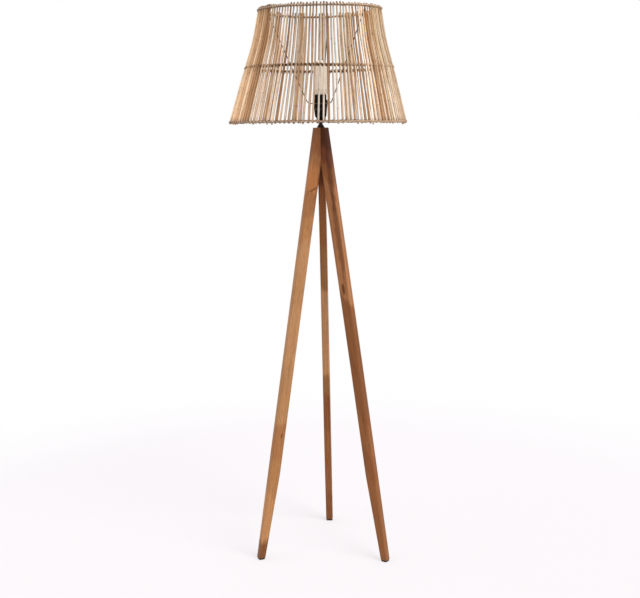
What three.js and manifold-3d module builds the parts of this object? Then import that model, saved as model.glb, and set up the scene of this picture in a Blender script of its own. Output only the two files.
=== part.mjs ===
// A floor lamp. Three mitred planks make a tripod, a threaded tube in its head carries the
// lampholder, and a shade of natural sticks laced to hoops hangs on the holder by three wires.
// Millimetres, +Z up. The origin is on the floor under the lamp's axis. The front looks along
// +Y, so the rear leg stands at an azimuth of 90 degrees, counted from +X towards +Y.

import * as THREE from 'three';
import { mergeVertices } from 'three/addons/utils/BufferGeometryUtils.js';
import Module from 'manifold-3d';

const wasm = await Module();
wasm.setup();

// Clearances
const SEAT_GAP = 0.3; // between pieces that bear on each other
const CUT_OVERRUN = 5; // how far a cutter runs past the wood or the wall that it cuts
const RUNNING_GAP = 0.4; // round a thread or a turning piece

// Facets
const ROUND_SIDES = 20;
const FINE_SIDES = 24;
const HOOP_SIDES = 40;

// Tripod
const HEAD_HEIGHT = 1185; // floor to the top of the wood
const LEG_THICKNESS = 19.4;
const LEG_HEAD_REACH = 19; // lamp axis to the outer edge, at the head
const LEG_FLOOR_REACH = 209; // the same edge carried on down to the floor
const LEG_HEAD_WIDTH = 30;
const LEG_KNEE_WIDTH = 29.4;
const LEG_FOOT_WIDTH = 17.7;
const LEG_KNEE_HEIGHT = 240; // where the inner edge starts its taper
const LEG_EDGE = 1.2; // eased long edges
const LEG_SIDES = ['right', 'rear', 'left']; // anticlockwise, a third of a turn apart
const FIRST_LEG_ANGLE = -30;
const PAD_HEIGHT = 4;
const PAD_INSET = 0.5; // pad edge inside the wood
const PAD_CORNER = 3.5;
const PAD_EDGE = 0.8;
const PAD_CORNER_STEPS = 2;

// Threaded tube and what clamps it in the head
const TUBE_RADIUS = 5;
const TUBE_BORE_RADIUS = 4;
const TUBE_TAIL = 6; // thread left below the nut
const STEM_SHOWN = 11; // bare tube between the cone nut and the holder
const CONE_HEIGHT = 8.5;
const CONE_BASE_RADIUS = 10.3;
const CONE_TOP_RADIUS = 6.2;
const CONE_RIM = 1.5;
const WASHER_SEAT_DEPTH = 58; // top of the wood down to the washer
const WASHER_RADIUS = 8.2;
const WASHER_THICKNESS = 1.2;
const NUT_FLATS = 14;
const NUT_HEIGHT = 4;
const COUNTERBORE_RADIUS = 8.7;
const BUSH_BORE_RADIUS = 3.1;
const BUSH_SPIGOT_LENGTH = 6;
const BUSH_LIP_RADIUS = 5.2;
const BUSH_LIP = 1.6;

// Lampholder
const HOLDER_HEIGHT = 67;
const CAP_HEIGHT = 29;
const CAP_HUB_HEIGHT = 7; // cone under the cap, round the tube
const CAP_HUB_RADIUS = 7.5;
const CAP_BASE_RADIUS = 15.2;
const CAP_TOP_RADIUS = 17.5;
const CAP_ROUND = 2.4;
const CAP_WALL = 2.2;
const CAP_FLOOR = 3;
const NECK_HEIGHT = 17; // depth of thread that holds the tube
const NECK_RADIUS = 9;
const GRUB_RADIUS = 1.9;
const GRUB_LENGTH = 3.2;
const FLANGE_TOP = 42.5; // holder base to the seat of the shade
const FLANGE_THICKNESS = 6;
const FLANGE_RADIUS = 18.5;
const SKIRT_RADIUS = 16.4;
const SKIRT_BORE_RADIUS = 14.4;
const RING_NUT_HEIGHT = 8;
const RING_NUT_RADIUS = 18.6;
const RING_NUT_RIBS = 24;
const RING_NUT_RIB_DEPTH = 0.6;
const INSERT_THICKNESS = 8.3;
const INSERT_LEDGE = 2.4; // shoulder of the body that the insert stands on
const INSERT_LEDGE_RADIUS = 12;
const SHELL_RADIUS = 14;
const SHELL_WALL = 0.5;
const SHELL_HEIGHT = 22;
const CONTACT_WIDTH = 5;
const CONTACT_THICKNESS = 0.5;
const CONTACT_FOOT = 4;
const TERMINAL_RADIUS = 2;
const TERMINAL_LENGTH = 3;
const TERMINAL_SPACING = 14;

// Bulb
const COLLAR_HEIGHT = 12;
const COLLAR_RADIUS = 19.2;
const COLLAR_ROUND = 2;
const GLOBE_HEIGHT = 78;
const GLOBE_RADIUS = 18.7;
const GLOBE_WALL = 1.2;
const GLOBE_DOME_STEPS = 5;
const BOARD_RADIUS = 16;
const BOARD_THICKNESS = 1.6;
const SCREW_CAP_RADIUS = 13.2;
const SCREW_CAP_ROOT = 12.3;
const SCREW_CAP_PITCH = 3.6;
const SCREW_CAP_TURNS = 4;
const SCREW_CAP_RIM = 3;
const BULB_INSULATOR_HEIGHT = 3;
const BULB_TIP_HEIGHT = 1.8;
const BULB_TIP_RADIUS = 4.6;

// Shade
const SHADE_HEIGHT = 305; // stick ends up to the tips, 1.5 m above the floor
const SHADE_DROP = 52.3; // seat on the holder down to the stick ends
const STICK_COUNT = 120;
const STICK_RADIUS = 2.6;
const STICK_SIDES = 5;
const PANEL_COUNT = 12;
const TIP_REACH = 158.5; // axis to the middle of a stick, at its upper tip
const WAIST_REACH = 174;
const MID_REACH = 196.2;
const END_REACH = 236.2;
const WAIST_RISE = 220; // stick ends up to where the sticks turn inwards
const MID_HOOP_RISE = 144.5; // stick ends up to the middle hoop
const BOTTOM_HOOP_RISE = 7; // stick ends up to the bottom hoop
const TOP_HOOP_DROP = 12; // tips down to the top hoop
const TOP_OUTER_LIFT = 2.5; // top outer hoop above the inner one
const HOOP_ROD_RADIUS = 3.5;
const HOOP_ROD_SIDES = 6;
const OUTER_HOOP_HEIGHT = 5;
const TOP_OUTER_THICKNESS = 2.4;
const MID_OUTER_THICKNESS = 4.2;
const BOTTOM_OUTER_THICKNESS = 2;
const LACING_BITE = 1.2; // how deep the middle outer hoop is drawn into the sticks

// Wire frame that carries the shade
const FITTER_THICKNESS = 2;
const FITTER_RADIUS = 23;
const ARM_SIDES = ['right', 'rear', 'left'];
const FIRST_ARM_ANGLE = -35;
const ARM_WIRE_RADIUS = 1.6;
const ARM_FACETS = 8;
const ARM_KINK_REACH = 36;
const ARM_KINK_ROUND = 5;

// Heights that follow from the sizes above
const CONE_BASE = HEAD_HEIGHT + SEAT_GAP;
const HOLDER_BASE = CONE_BASE + CONE_HEIGHT + STEM_SHOWN;
const HOLDER_TOP = HOLDER_BASE + HOLDER_HEIGHT;
const TUBE_TOP = HOLDER_BASE + NECK_HEIGHT;
const WASHER_TOP = HEAD_HEIGHT - WASHER_SEAT_DEPTH - SEAT_GAP;
const NUT_TOP = WASHER_TOP - WASHER_THICKNESS - SEAT_GAP;
const TUBE_END = NUT_TOP - NUT_HEIGHT - TUBE_TAIL;
const SHADE_SEAT = HOLDER_BASE + FLANGE_TOP;
const FITTER_BASE = SHADE_SEAT + SEAT_GAP;
const RING_NUT_BASE = FITTER_BASE + FITTER_THICKNESS + SEAT_GAP;
const BODY_BASE = HOLDER_BASE + CAP_HEIGHT + SEAT_GAP;
const INSERT_BASE = BODY_BASE + INSERT_LEDGE + SEAT_GAP;
const INSERT_TOP = INSERT_BASE + INSERT_THICKNESS;
const SHELL_BASE = INSERT_TOP + SEAT_GAP;
const COLLAR_BASE = HOLDER_TOP + SEAT_GAP;
const BOARD_BASE = COLLAR_BASE + COLLAR_HEIGHT + SEAT_GAP;
const SCREW_CAP_TOP = COLLAR_BASE - SEAT_GAP;
const SCREW_CAP_HEIGHT = SCREW_CAP_RIM + SCREW_CAP_PITCH * SCREW_CAP_TURNS;
const SCREW_CAP_BASE = SCREW_CAP_TOP - SCREW_CAP_HEIGHT;
const INSULATOR_TOP = SCREW_CAP_BASE - SEAT_GAP;
const BULB_TIP_TOP = INSULATOR_TOP - BULB_INSULATOR_HEIGHT - SEAT_GAP;
const BULB_TIP_BASE = BULB_TIP_TOP - BULB_TIP_HEIGHT;
const STICK_END_HEIGHT = SHADE_SEAT - SHADE_DROP;
const TIP_HEIGHT = STICK_END_HEIGHT + SHADE_HEIGHT;
const WAIST_HEIGHT = STICK_END_HEIGHT + WAIST_RISE;
const TOP_HOOP_HEIGHT = TIP_HEIGHT - TOP_HOOP_DROP;
const MID_HOOP_HEIGHT = STICK_END_HEIGHT + MID_HOOP_RISE;
const BOTTOM_HOOP_HEIGHT = STICK_END_HEIGHT + BOTTOM_HOOP_RISE;

const turn = (degrees) => THREE.MathUtils.degToRad(degrees);

// The profile of a stick's middle line, as reach and height, from its lower end to its tip
const STICK_PROFILE = [
  [END_REACH, STICK_END_HEIGHT],
  [MID_REACH, MID_HOOP_HEIGHT],
  [WAIST_REACH, WAIST_HEIGHT],
  [TIP_REACH, TIP_HEIGHT],
];

// A path through given points, with one straight run from each point to the next.
class PointPath extends THREE.Curve {
  constructor(points) {
    super();
    this.points = points;
  }

  getPoint(t, target = new THREE.Vector3()) {
    const runs = this.points.length - 1;
    const run = Math.min(Math.floor(t * runs), runs - 1);
    return target.lerpVectors(this.points[run], this.points[run + 1], t * runs - run);
  }

  getPointAt(u, target) {
    return this.getPoint(u, target);
  }

  getUtoTmapping(u) {
    return u;
  }
}

// Welds a geometry's corners, drops triangles of no area and turns its faces outwards.
function toSolid(geometry) {
  const bare = geometry.clone();
  bare.deleteAttribute('normal');
  bare.deleteAttribute('uv');
  const welded = mergeVertices(bare, 1e-4);
  const places = welded.getAttribute('position').array;
  const faces = [];
  let volume = 0;
  const corner = (index) => new THREE.Vector3().fromArray(places, index * 3);
  for (let i = 0; i < welded.index.count; i += 3) {
    const [a, b, c] = [0, 1, 2].map((step) => welded.index.getX(i + step));
    if (a === b || b === c || c === a) continue;
    volume += corner(a).dot(corner(b).cross(corner(c)));
    faces.push(a, b, c);
  }
  if (volume < 0) faces.reverse();
  return new wasm.Manifold(new wasm.Mesh({
    numProp: 3,
    vertProperties: new Float32Array(places),
    triVerts: new Uint32Array(faces),
  }));
}

// The way back: a solid's triangles as a geometry.
function toGeometry(solid) {
  const mesh = solid.getMesh();
  const geometry = new THREE.BufferGeometry();
  geometry.setAttribute('position', new THREE.BufferAttribute(new Float32Array(mesh.vertProperties), 3));
  geometry.setIndex(new THREE.BufferAttribute(new Uint32Array(mesh.triVerts), 1));
  const facets = geometry.toNonIndexed();
  facets.computeVertexNormals();
  return facets;
}

// A turned piece about the lamp's axis: its profile is a closed run of [radius, height] pairs.
function turned(profile, sides = ROUND_SIDES) {
  const closed = [...profile, profile[0]].map(([radius, height]) => new THREE.Vector2(radius, height));
  const geometry = new THREE.LatheGeometry(closed, sides);
  geometry.rotateX(Math.PI / 2);
  return toSolid(geometry);
}

// A flat outline in plan, raised from one height to another.
function raised(shape, low, high, sides = ROUND_SIDES) {
  const geometry = new THREE.ExtrudeGeometry(shape, {
    depth: high - low,
    bevelEnabled: false,
    curveSegments: sides,
  });
  geometry.translate(0, 0, low);
  return toSolid(geometry);
}

// A round plug about the axis, used to bore a hole.
function plug(radius, low, high, sides = ROUND_SIDES) {
  const geometry = new THREE.CylinderGeometry(radius, radius, high - low, sides);
  geometry.rotateX(Math.PI / 2);
  geometry.translate(0, 0, (low + high) / 2);
  return toSolid(geometry);
}

// A regular outline with its corners at a given reach.
function regularOutline(reach, sides) {
  const outline = new THREE.Shape();
  for (let i = 0; i < sides; i++) {
    const angle = 2 * Math.PI * i / sides;
    const corner = [reach * Math.cos(angle), reach * Math.sin(angle)];
    if (i === 0) outline.moveTo(...corner);
    else outline.lineTo(...corner);
  }
  outline.closePath();
  return outline;
}

// A rod of regular section along a path.
function rod(points, radius, sides) {
  const geometry = new THREE.ExtrudeGeometry(regularOutline(radius, sides), {
    steps: points.length - 1,
    bevelEnabled: false,
    extrudePath: new PointPath(points),
  });
  return toSolid(geometry);
}

const group = new THREE.Group();

// Puts a finished piece into the lamp as a named mesh, turned about the axis by an azimuth.
function place(name, solid, finish, azimuth = 0, parent = group) {
  const mesh = new THREE.Mesh(toGeometry(solid), new THREE.MeshStandardMaterial(finish));
  mesh.name = name;
  mesh.rotation.z = turn(azimuth);
  parent.add(mesh);
}

// Finishes, as seen in daylight
const TEAK = { color: 0xa9764a, roughness: 0.55, metalness: 0 };
const RATTAN = { color: 0xc9a67c, roughness: 0.7, metalness: 0 };
const RATTAN_DARK = { color: 0x8f6b46, roughness: 0.75, metalness: 0 };
const BAKELITE = { color: 0x15120f, roughness: 0.4, metalness: 0 };
const BLACK_STEEL = { color: 0x1d1a18, roughness: 0.45, metalness: 0.7 };
const ZINC = { color: 0xb9babb, roughness: 0.35, metalness: 1 };
const BRASS = { color: 0xc9a552, roughness: 0.3, metalness: 1 };
const CERAMIC = { color: 0xe9e5dc, roughness: 0.5, metalness: 0 };
const WHITE_PLASTIC = { color: 0xe4e2dd, roughness: 0.4, metalness: 0 };
const OPAL = { color: 0xf1efe9, roughness: 0.3, metalness: 0 };
const BLACK_RUBBER = { color: 0x241d18, roughness: 0.8, metalness: 0 };

// Tripod

// How far out the leg's outer edge lies at a height.
function outerEdge(height) {
  return LEG_FLOOR_REACH + (LEG_HEAD_REACH - LEG_FLOOR_REACH) * height / HEAD_HEIGHT;
}

// One plank on edge, drawn at azimuth 0: a straight outer edge, an inner edge with a knee,
// a head mitred to meet its two neighbours, and its third of the bore and the counterbore.
function legSolid(foot) {
  const side = new THREE.Shape([
    new THREE.Vector2(outerEdge(foot), foot),
    new THREE.Vector2(outerEdge(HEAD_HEIGHT), HEAD_HEIGHT),
    new THREE.Vector2(outerEdge(HEAD_HEIGHT) - LEG_HEAD_WIDTH, HEAD_HEIGHT),
    new THREE.Vector2(outerEdge(LEG_KNEE_HEIGHT) - LEG_KNEE_WIDTH, LEG_KNEE_HEIGHT),
    new THREE.Vector2(outerEdge(foot) - LEG_FOOT_WIDTH, foot),
  ]);
  const plank = new THREE.ExtrudeGeometry(side, {
    depth: LEG_THICKNESS - 2 * LEG_EDGE,
    bevelThickness: LEG_EDGE,
    bevelSize: LEG_EDGE,
    bevelOffset: -LEG_EDGE,
    bevelSegments: 1,
  });
  plank.translate(0, 0, LEG_EDGE - LEG_THICKNESS / 2);
  plank.rotateX(Math.PI / 2);

  const mitreAngle = Math.PI / LEG_SIDES.length;
  const apex = SEAT_GAP / 2 / Math.sin(mitreAngle);
  const far = LEG_FLOOR_REACH + CUT_OVERRUN;
  const wedge = new THREE.Shape([
    new THREE.Vector2(apex, 0),
    new THREE.Vector2(far, -(far - apex) * Math.tan(mitreAngle)),
    new THREE.Vector2(far, (far - apex) * Math.tan(mitreAngle)),
  ]);
  const seat = HEAD_HEIGHT - WASHER_SEAT_DEPTH;
  return toSolid(plank)
    .intersect(raised(wedge, -CUT_OVERRUN, HEAD_HEIGHT + CUT_OVERRUN))
    .subtract(plug(TUBE_RADIUS + RUNNING_GAP, 0, HEAD_HEIGHT + CUT_OVERRUN))
    .subtract(plug(COUNTERBORE_RADIUS, 0, seat));
}

// A pad under a foot, at azimuth 0: a rounded block with eased edges, a little inside the wood.
function padSolid(foot) {
  const length = LEG_FOOT_WIDTH - 2 * PAD_INSET;
  const width = LEG_THICKNESS - 2 * PAD_INSET;
  const [x, y] = [length / 2, width / 2];
  const plan = new THREE.Shape();
  plan.moveTo(PAD_CORNER - x, -y);
  plan.lineTo(x - PAD_CORNER, -y);
  plan.absarc(x - PAD_CORNER, PAD_CORNER - y, PAD_CORNER, -Math.PI / 2, 0);
  plan.absarc(x - PAD_CORNER, y - PAD_CORNER, PAD_CORNER, 0, Math.PI / 2);
  plan.absarc(PAD_CORNER - x, y - PAD_CORNER, PAD_CORNER, Math.PI / 2, Math.PI);
  plan.absarc(PAD_CORNER - x, PAD_CORNER - y, PAD_CORNER, Math.PI, 3 * Math.PI / 2);
  const pad = new THREE.ExtrudeGeometry(plan, {
    depth: PAD_HEIGHT - 2 * PAD_EDGE,
    bevelThickness: PAD_EDGE,
    bevelSize: PAD_EDGE,
    bevelOffset: -PAD_EDGE,
    bevelSegments: 1,
    curveSegments: PAD_CORNER_STEPS,
  });
  pad.translate(outerEdge(foot) - LEG_FOOT_WIDTH / 2, 0, PAD_EDGE);
  return toSolid(pad);
}

function addTripod() {
  const foot = PAD_HEIGHT + SEAT_GAP;
  LEG_SIDES.forEach((side, i) => {
    const azimuth = FIRST_LEG_ANGLE + 360 * i / LEG_SIDES.length;
    place(`leg_${side}`, legSolid(foot), TEAK, azimuth);
    place(`foot_pad_${side}`, padSolid(foot), BLACK_RUBBER, azimuth);
  });
}

// Threaded tube and its fixings

function addStem() {
  const clear = TUBE_RADIUS + SEAT_GAP;
  place('threaded_tube', turned([
    [TUBE_BORE_RADIUS, TUBE_END],
    [TUBE_RADIUS, TUBE_END],
    [TUBE_RADIUS, TUBE_TOP],
    [TUBE_BORE_RADIUS, TUBE_TOP],
  ]), ZINC);
  place('cone_nut', turned([
    [clear, CONE_BASE],
    [CONE_BASE_RADIUS, CONE_BASE],
    [CONE_BASE_RADIUS, CONE_BASE + CONE_RIM],
    [CONE_TOP_RADIUS, CONE_BASE + CONE_HEIGHT],
    [clear, CONE_BASE + CONE_HEIGHT],
  ]), BLACK_STEEL);
  place('head_washer', turned([
    [clear, WASHER_TOP - WASHER_THICKNESS],
    [WASHER_RADIUS, WASHER_TOP - WASHER_THICKNESS],
    [WASHER_RADIUS, WASHER_TOP],
    [clear, WASHER_TOP],
  ]), ZINC);

  const hexagon = regularOutline(NUT_FLATS / 2 / Math.cos(Math.PI / 6), 6);
  place('head_nut', raised(hexagon, NUT_TOP - NUT_HEIGHT, NUT_TOP)
    .subtract(plug(clear, NUT_TOP - NUT_HEIGHT - CUT_OVERRUN, NUT_TOP + CUT_OVERRUN)), ZINC);

  const spigot = TUBE_BORE_RADIUS - SEAT_GAP;
  place('cable_bush', turned([
    [BUSH_BORE_RADIUS, TUBE_END - SEAT_GAP - BUSH_LIP],
    [BUSH_LIP_RADIUS, TUBE_END - SEAT_GAP - BUSH_LIP],
    [BUSH_LIP_RADIUS, TUBE_END - SEAT_GAP],
    [spigot, TUBE_END - SEAT_GAP],
    [spigot, TUBE_END - SEAT_GAP + BUSH_SPIGOT_LENGTH],
    [BUSH_BORE_RADIUS, TUBE_END - SEAT_GAP + BUSH_SPIGOT_LENGTH],
  ]), BLACK_RUBBER);
}

// Lampholder

// A small plug that lies on its side and points along +X, for the grub screw and its hole.
function sidePlug(radius, near, far, height) {
  const geometry = new THREE.CylinderGeometry(radius, radius, far - near, ROUND_SIDES / 2);
  geometry.rotateZ(Math.PI / 2);
  geometry.translate((near + far) / 2, 0, height);
  return toSolid(geometry);
}

function addHolderCap() {
  const neckBore = TUBE_RADIUS + SEAT_GAP;
  const dome = HOLDER_BASE + CAP_HUB_HEIGHT;
  const floor = dome + CAP_FLOOR;
  const top = HOLDER_BASE + CAP_HEIGHT;
  const screwHeight = (floor + HOLDER_BASE + NECK_HEIGHT) / 2;
  const shell = turned([
    [neckBore, HOLDER_BASE],
    [CAP_HUB_RADIUS, HOLDER_BASE],
    [CAP_BASE_RADIUS - CAP_ROUND, dome],
    [CAP_BASE_RADIUS, dome + CAP_ROUND],
    [CAP_TOP_RADIUS, top],
    [CAP_TOP_RADIUS - CAP_WALL, top],
    [CAP_BASE_RADIUS - CAP_WALL, floor],
    [NECK_RADIUS, floor],
    [NECK_RADIUS, HOLDER_BASE + NECK_HEIGHT],
    [neckBore, HOLDER_BASE + NECK_HEIGHT],
  ], FINE_SIDES);
  const hole = sidePlug(GRUB_RADIUS + SEAT_GAP, 0, NECK_RADIUS + CUT_OVERRUN / 2, screwHeight);
  place('holder_cap', shell.subtract(hole), BAKELITE);
  place('cap_grub_screw', sidePlug(GRUB_RADIUS, neckBore, neckBore + GRUB_LENGTH, screwHeight), ZINC);
}

function addHolderBody() {
  const flangeBase = SHADE_SEAT - FLANGE_THICKNESS;
  place('holder_body', turned([
    [INSERT_LEDGE_RADIUS, BODY_BASE],
    [CAP_TOP_RADIUS, BODY_BASE],
    [FLANGE_RADIUS, flangeBase],
    [FLANGE_RADIUS, SHADE_SEAT],
    [SKIRT_RADIUS, SHADE_SEAT],
    [SKIRT_RADIUS, HOLDER_TOP],
    [SKIRT_BORE_RADIUS, HOLDER_TOP],
    [SKIRT_BORE_RADIUS, BODY_BASE + INSERT_LEDGE],
    [INSERT_LEDGE_RADIUS, BODY_BASE + INSERT_LEDGE],
  ], FINE_SIDES), BAKELITE);
}

// The ring nut that clamps the shade, with its finger ribs.
function addRingNut() {
  const outline = new THREE.Shape();
  for (let i = 0; i < 2 * RING_NUT_RIBS; i++) {
    const reach = RING_NUT_RADIUS - RING_NUT_RIB_DEPTH * (i % 2);
    const angle = Math.PI * i / RING_NUT_RIBS;
    const corner = [reach * Math.cos(angle), reach * Math.sin(angle)];
    if (i === 0) outline.moveTo(...corner);
    else outline.lineTo(...corner);
  }
  outline.closePath();
  const top = RING_NUT_BASE + RING_NUT_HEIGHT;
  const bore = plug(SKIRT_RADIUS + RUNNING_GAP, RING_NUT_BASE - CUT_OVERRUN, top + CUT_OVERRUN, FINE_SIDES);
  place('shade_ring_nut', raised(outline, RING_NUT_BASE, top).subtract(bore), BAKELITE);
}

// The insert and the live parts on it.
function addHolderInsert() {
  const insertRadius = SKIRT_BORE_RADIUS - SEAT_GAP;
  const wireHole = TERMINAL_RADIUS;
  const block = turned([
    [wireHole, INSERT_BASE],
    [insertRadius, INSERT_BASE],
    [insertRadius, INSERT_TOP],
    [wireHole, INSERT_TOP],
  ]);
  let insert = block;
  const sides = { live: TERMINAL_SPACING / 2, neutral: -TERMINAL_SPACING / 2 };
  const screwTop = INSERT_BASE + TERMINAL_LENGTH;
  const holeTop = screwTop + SEAT_GAP;
  for (const [name, offset] of Object.entries(sides)) {
    const hole = plug(TERMINAL_RADIUS + SEAT_GAP, INSERT_BASE - CUT_OVERRUN, holeTop, ROUND_SIDES / 2);
    insert = insert.subtract(hole.translate([offset, 0, 0]));
    const screw = plug(TERMINAL_RADIUS, INSERT_BASE, screwTop, ROUND_SIDES / 2);
    place(`terminal_screw_${name}`, screw.translate([offset, 0, 0]), BRASS);
  }
  place('holder_insert', insert, CERAMIC);
  place('contact_shell', turned([
    [SHELL_RADIUS - SHELL_WALL, SHELL_BASE],
    [SHELL_RADIUS, SHELL_BASE],
    [SHELL_RADIUS, SHELL_BASE + SHELL_HEIGHT],
    [SHELL_RADIUS - SHELL_WALL, SHELL_BASE + SHELL_HEIGHT],
  ]), BRASS);
}

// The centre contact: a strip that stands on the insert and springs up under the bulb's tip.
function addCentreContact() {
  const low = INSERT_TOP + SEAT_GAP;
  const high = BULB_TIP_BASE - SEAT_GAP;
  const thin = CONTACT_THICKNESS;
  const reach = SHELL_RADIUS - SHELL_WALL - SEAT_GAP - CONTACT_WIDTH / 2;
  const strip = new THREE.Shape([
    new THREE.Vector2(-reach, low),
    new THREE.Vector2(CONTACT_FOOT - reach, low),
    new THREE.Vector2(-BULB_TIP_RADIUS / 2, high - thin),
    new THREE.Vector2(BULB_TIP_RADIUS, high - thin),
    new THREE.Vector2(BULB_TIP_RADIUS, high),
    new THREE.Vector2(-BULB_TIP_RADIUS / 2 - thin, high),
    new THREE.Vector2(CONTACT_FOOT - reach - thin, low + thin),
    new THREE.Vector2(-reach, low + thin),
  ]);
  const geometry = new THREE.ExtrudeGeometry(strip, { depth: CONTACT_WIDTH, bevelEnabled: false });
  geometry.translate(0, 0, -CONTACT_WIDTH / 2);
  geometry.rotateX(Math.PI / 2);
  place('centre_contact', toSolid(geometry), BRASS);
}

// Bulb

// The metal cap's outside: a plain rim above, then one crest and one root for each turn.
function screwCapProfile() {
  const profile = [[SCREW_CAP_RADIUS, SCREW_CAP_TOP]];
  for (let i = 0; i < SCREW_CAP_TURNS; i++) {
    const crest = SCREW_CAP_TOP - SCREW_CAP_RIM - SCREW_CAP_PITCH * i;
    profile.push([SCREW_CAP_RADIUS, crest], [SCREW_CAP_ROOT, crest - SCREW_CAP_PITCH / 2]);
  }
  profile.push([SCREW_CAP_ROOT, SCREW_CAP_BASE]);
  return [...profile, [0, SCREW_CAP_BASE], [0, SCREW_CAP_TOP]];
}

// The globe: a thin tube with a round dome, open below over the board.
function globeProfile() {
  const top = BOARD_BASE + GLOBE_HEIGHT;
  const profile = [];
  const dome = (radius, height, outwards) => {
    for (let i = 0; i <= GLOBE_DOME_STEPS; i++) {
      const angle = Math.PI / 2 * (outwards ? GLOBE_DOME_STEPS - i : i) / GLOBE_DOME_STEPS;
      const across = angle === Math.PI / 2 ? 0 : radius * Math.cos(angle);
      profile.push([across, height + radius * Math.sin(angle)]);
    }
  };
  profile.push([GLOBE_RADIUS, BOARD_BASE]);
  dome(GLOBE_RADIUS, top - GLOBE_RADIUS, false);
  dome(GLOBE_RADIUS - GLOBE_WALL, top - GLOBE_RADIUS, true);
  profile.push([GLOBE_RADIUS - GLOBE_WALL, BOARD_BASE]);
  return profile;
}

function addBulb() {
  place('bulb_collar', turned([
    [0, COLLAR_BASE],
    [COLLAR_RADIUS - COLLAR_ROUND, COLLAR_BASE],
    [COLLAR_RADIUS, COLLAR_BASE + COLLAR_ROUND],
    [COLLAR_RADIUS, COLLAR_BASE + COLLAR_HEIGHT],
    [0, COLLAR_BASE + COLLAR_HEIGHT],
  ]), WHITE_PLASTIC);
  place('bulb_led_board', turned([
    [0, BOARD_BASE],
    [BOARD_RADIUS, BOARD_BASE],
    [BOARD_RADIUS, BOARD_BASE + BOARD_THICKNESS],
    [0, BOARD_BASE + BOARD_THICKNESS],
  ]), CERAMIC);
  place('bulb_globe', turned(globeProfile()), OPAL);
  place('bulb_screw_cap', turned(screwCapProfile()), ZINC);
  place('bulb_insulator', turned([
    [0, INSULATOR_TOP - BULB_INSULATOR_HEIGHT],
    [BULB_TIP_RADIUS, INSULATOR_TOP - BULB_INSULATOR_HEIGHT],
    [SCREW_CAP_ROOT, INSULATOR_TOP],
    [0, INSULATOR_TOP],
  ]), BAKELITE);
  place('bulb_tip_contact', turned([
    [0, BULB_TIP_BASE],
    [BULB_TIP_RADIUS / 2, BULB_TIP_BASE],
    [BULB_TIP_RADIUS, BULB_TIP_BASE + BULB_TIP_HEIGHT / 2],
    [BULB_TIP_RADIUS, BULB_TIP_TOP],
    [0, BULB_TIP_TOP],
  ]), BRASS);
}

// Shade

// How far out the middle of a stick lies at a height, along its straight runs.
function stickReach(height) {
  const above = STICK_PROFILE.findIndex(([, level]) => level >= height && level > STICK_END_HEIGHT);
  const [lowReach, low] = STICK_PROFILE[above - 1];
  const [highReach, high] = STICK_PROFILE[above];
  return lowReach + (highReach - lowReach) * (height - low) / (high - low);
}

// A round hoop of rod inside the sticks, with its facets' corners at the sticks' inner side.
function innerHoop(height) {
  const reach = stickReach(height) - STICK_RADIUS - SEAT_GAP - HOOP_ROD_RADIUS;
  const profile = [];
  for (let i = 0; i < HOOP_ROD_SIDES; i++) {
    const angle = 2 * Math.PI * i / HOOP_ROD_SIDES;
    profile.push([reach + HOOP_ROD_RADIUS * Math.cos(angle), height + HOOP_ROD_RADIUS * Math.sin(angle)]);
  }
  return turned(profile, HOOP_SIDES);
}

// A split hoop round the outside, whose flat inner side clears the slanting sticks.
function outerHoop(height, thickness) {
  const half = OUTER_HOOP_HEIGHT / 2;
  const widest = Math.max(stickReach(height - half), stickReach(height + half));
  const inner = (widest + STICK_RADIUS + SEAT_GAP) / Math.cos(Math.PI / HOOP_SIDES);
  return turned([
    [inner, height - half],
    [inner + thickness, height - half],
    [inner + thickness, height + half],
    [inner, height + half],
  ], HOOP_SIDES);
}

// One length of the middle outer hoop, drawn tight against the sticks of its panel.
function middleBinding(pitch, sticks) {
  const inner = MID_REACH + STICK_RADIUS - LACING_BITE;
  const outer = inner + MID_OUTER_THICKNESS;
  const endGap = SEAT_GAP / 2 / inner;
  const angles = [];
  for (let i = 0; i <= sticks; i++) {
    const trim = i === 0 ? endGap : (i === sticks ? -endGap : 0);
    angles.push(pitch * i + trim);
  }
  const along = (reach) => angles.map((angle) => new THREE.Vector2(
    reach * Math.cos(angle), reach * Math.sin(angle)));
  const plan = new THREE.Shape([...along(outer), ...along(inner).reverse()]);
  const half = OUTER_HOOP_HEIGHT / 2;
  return raised(plan, MID_HOOP_HEIGHT - half, MID_HOOP_HEIGHT + half);
}

// One panel: its sticks, and the length of binding that they are laced to.
function panelSolid() {
  const sticks = STICK_COUNT / PANEL_COUNT;
  const pitch = 2 * Math.PI / STICK_COUNT;
  const stick = rod(STICK_PROFILE.map(([reach, height]) => new THREE.Vector3(reach, 0, height)),
    STICK_RADIUS, STICK_SIDES);
  let panel = middleBinding(pitch, sticks);
  for (let i = 0; i < sticks; i++) {
    const azimuth = THREE.MathUtils.radToDeg(pitch * (i + 1 / 2));
    panel = panel.add(stick.rotate([0, 0, azimuth]));
  }
  return panel;
}

function addShade() {
  const panel = panelSolid();
  for (let i = 0; i < PANEL_COUNT; i++) {
    place(`stick_panel_${String(i + 1).padStart(2, '0')}`, panel, RATTAN, 360 * i / PANEL_COUNT);
  }
  place('top_inner_hoop', innerHoop(TOP_HOOP_HEIGHT), RATTAN_DARK);
  place('middle_inner_hoop', innerHoop(MID_HOOP_HEIGHT), RATTAN_DARK);
  place('bottom_inner_hoop', innerHoop(BOTTOM_HOOP_HEIGHT), RATTAN_DARK);
  place('top_outer_hoop', outerHoop(TOP_HOOP_HEIGHT + TOP_OUTER_LIFT, TOP_OUTER_THICKNESS), RATTAN_DARK);
  place('bottom_outer_hoop', outerHoop(BOTTOM_HOOP_HEIGHT, BOTTOM_OUTER_THICKNESS), RATTAN_DARK);
}

// Wire frame

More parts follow.
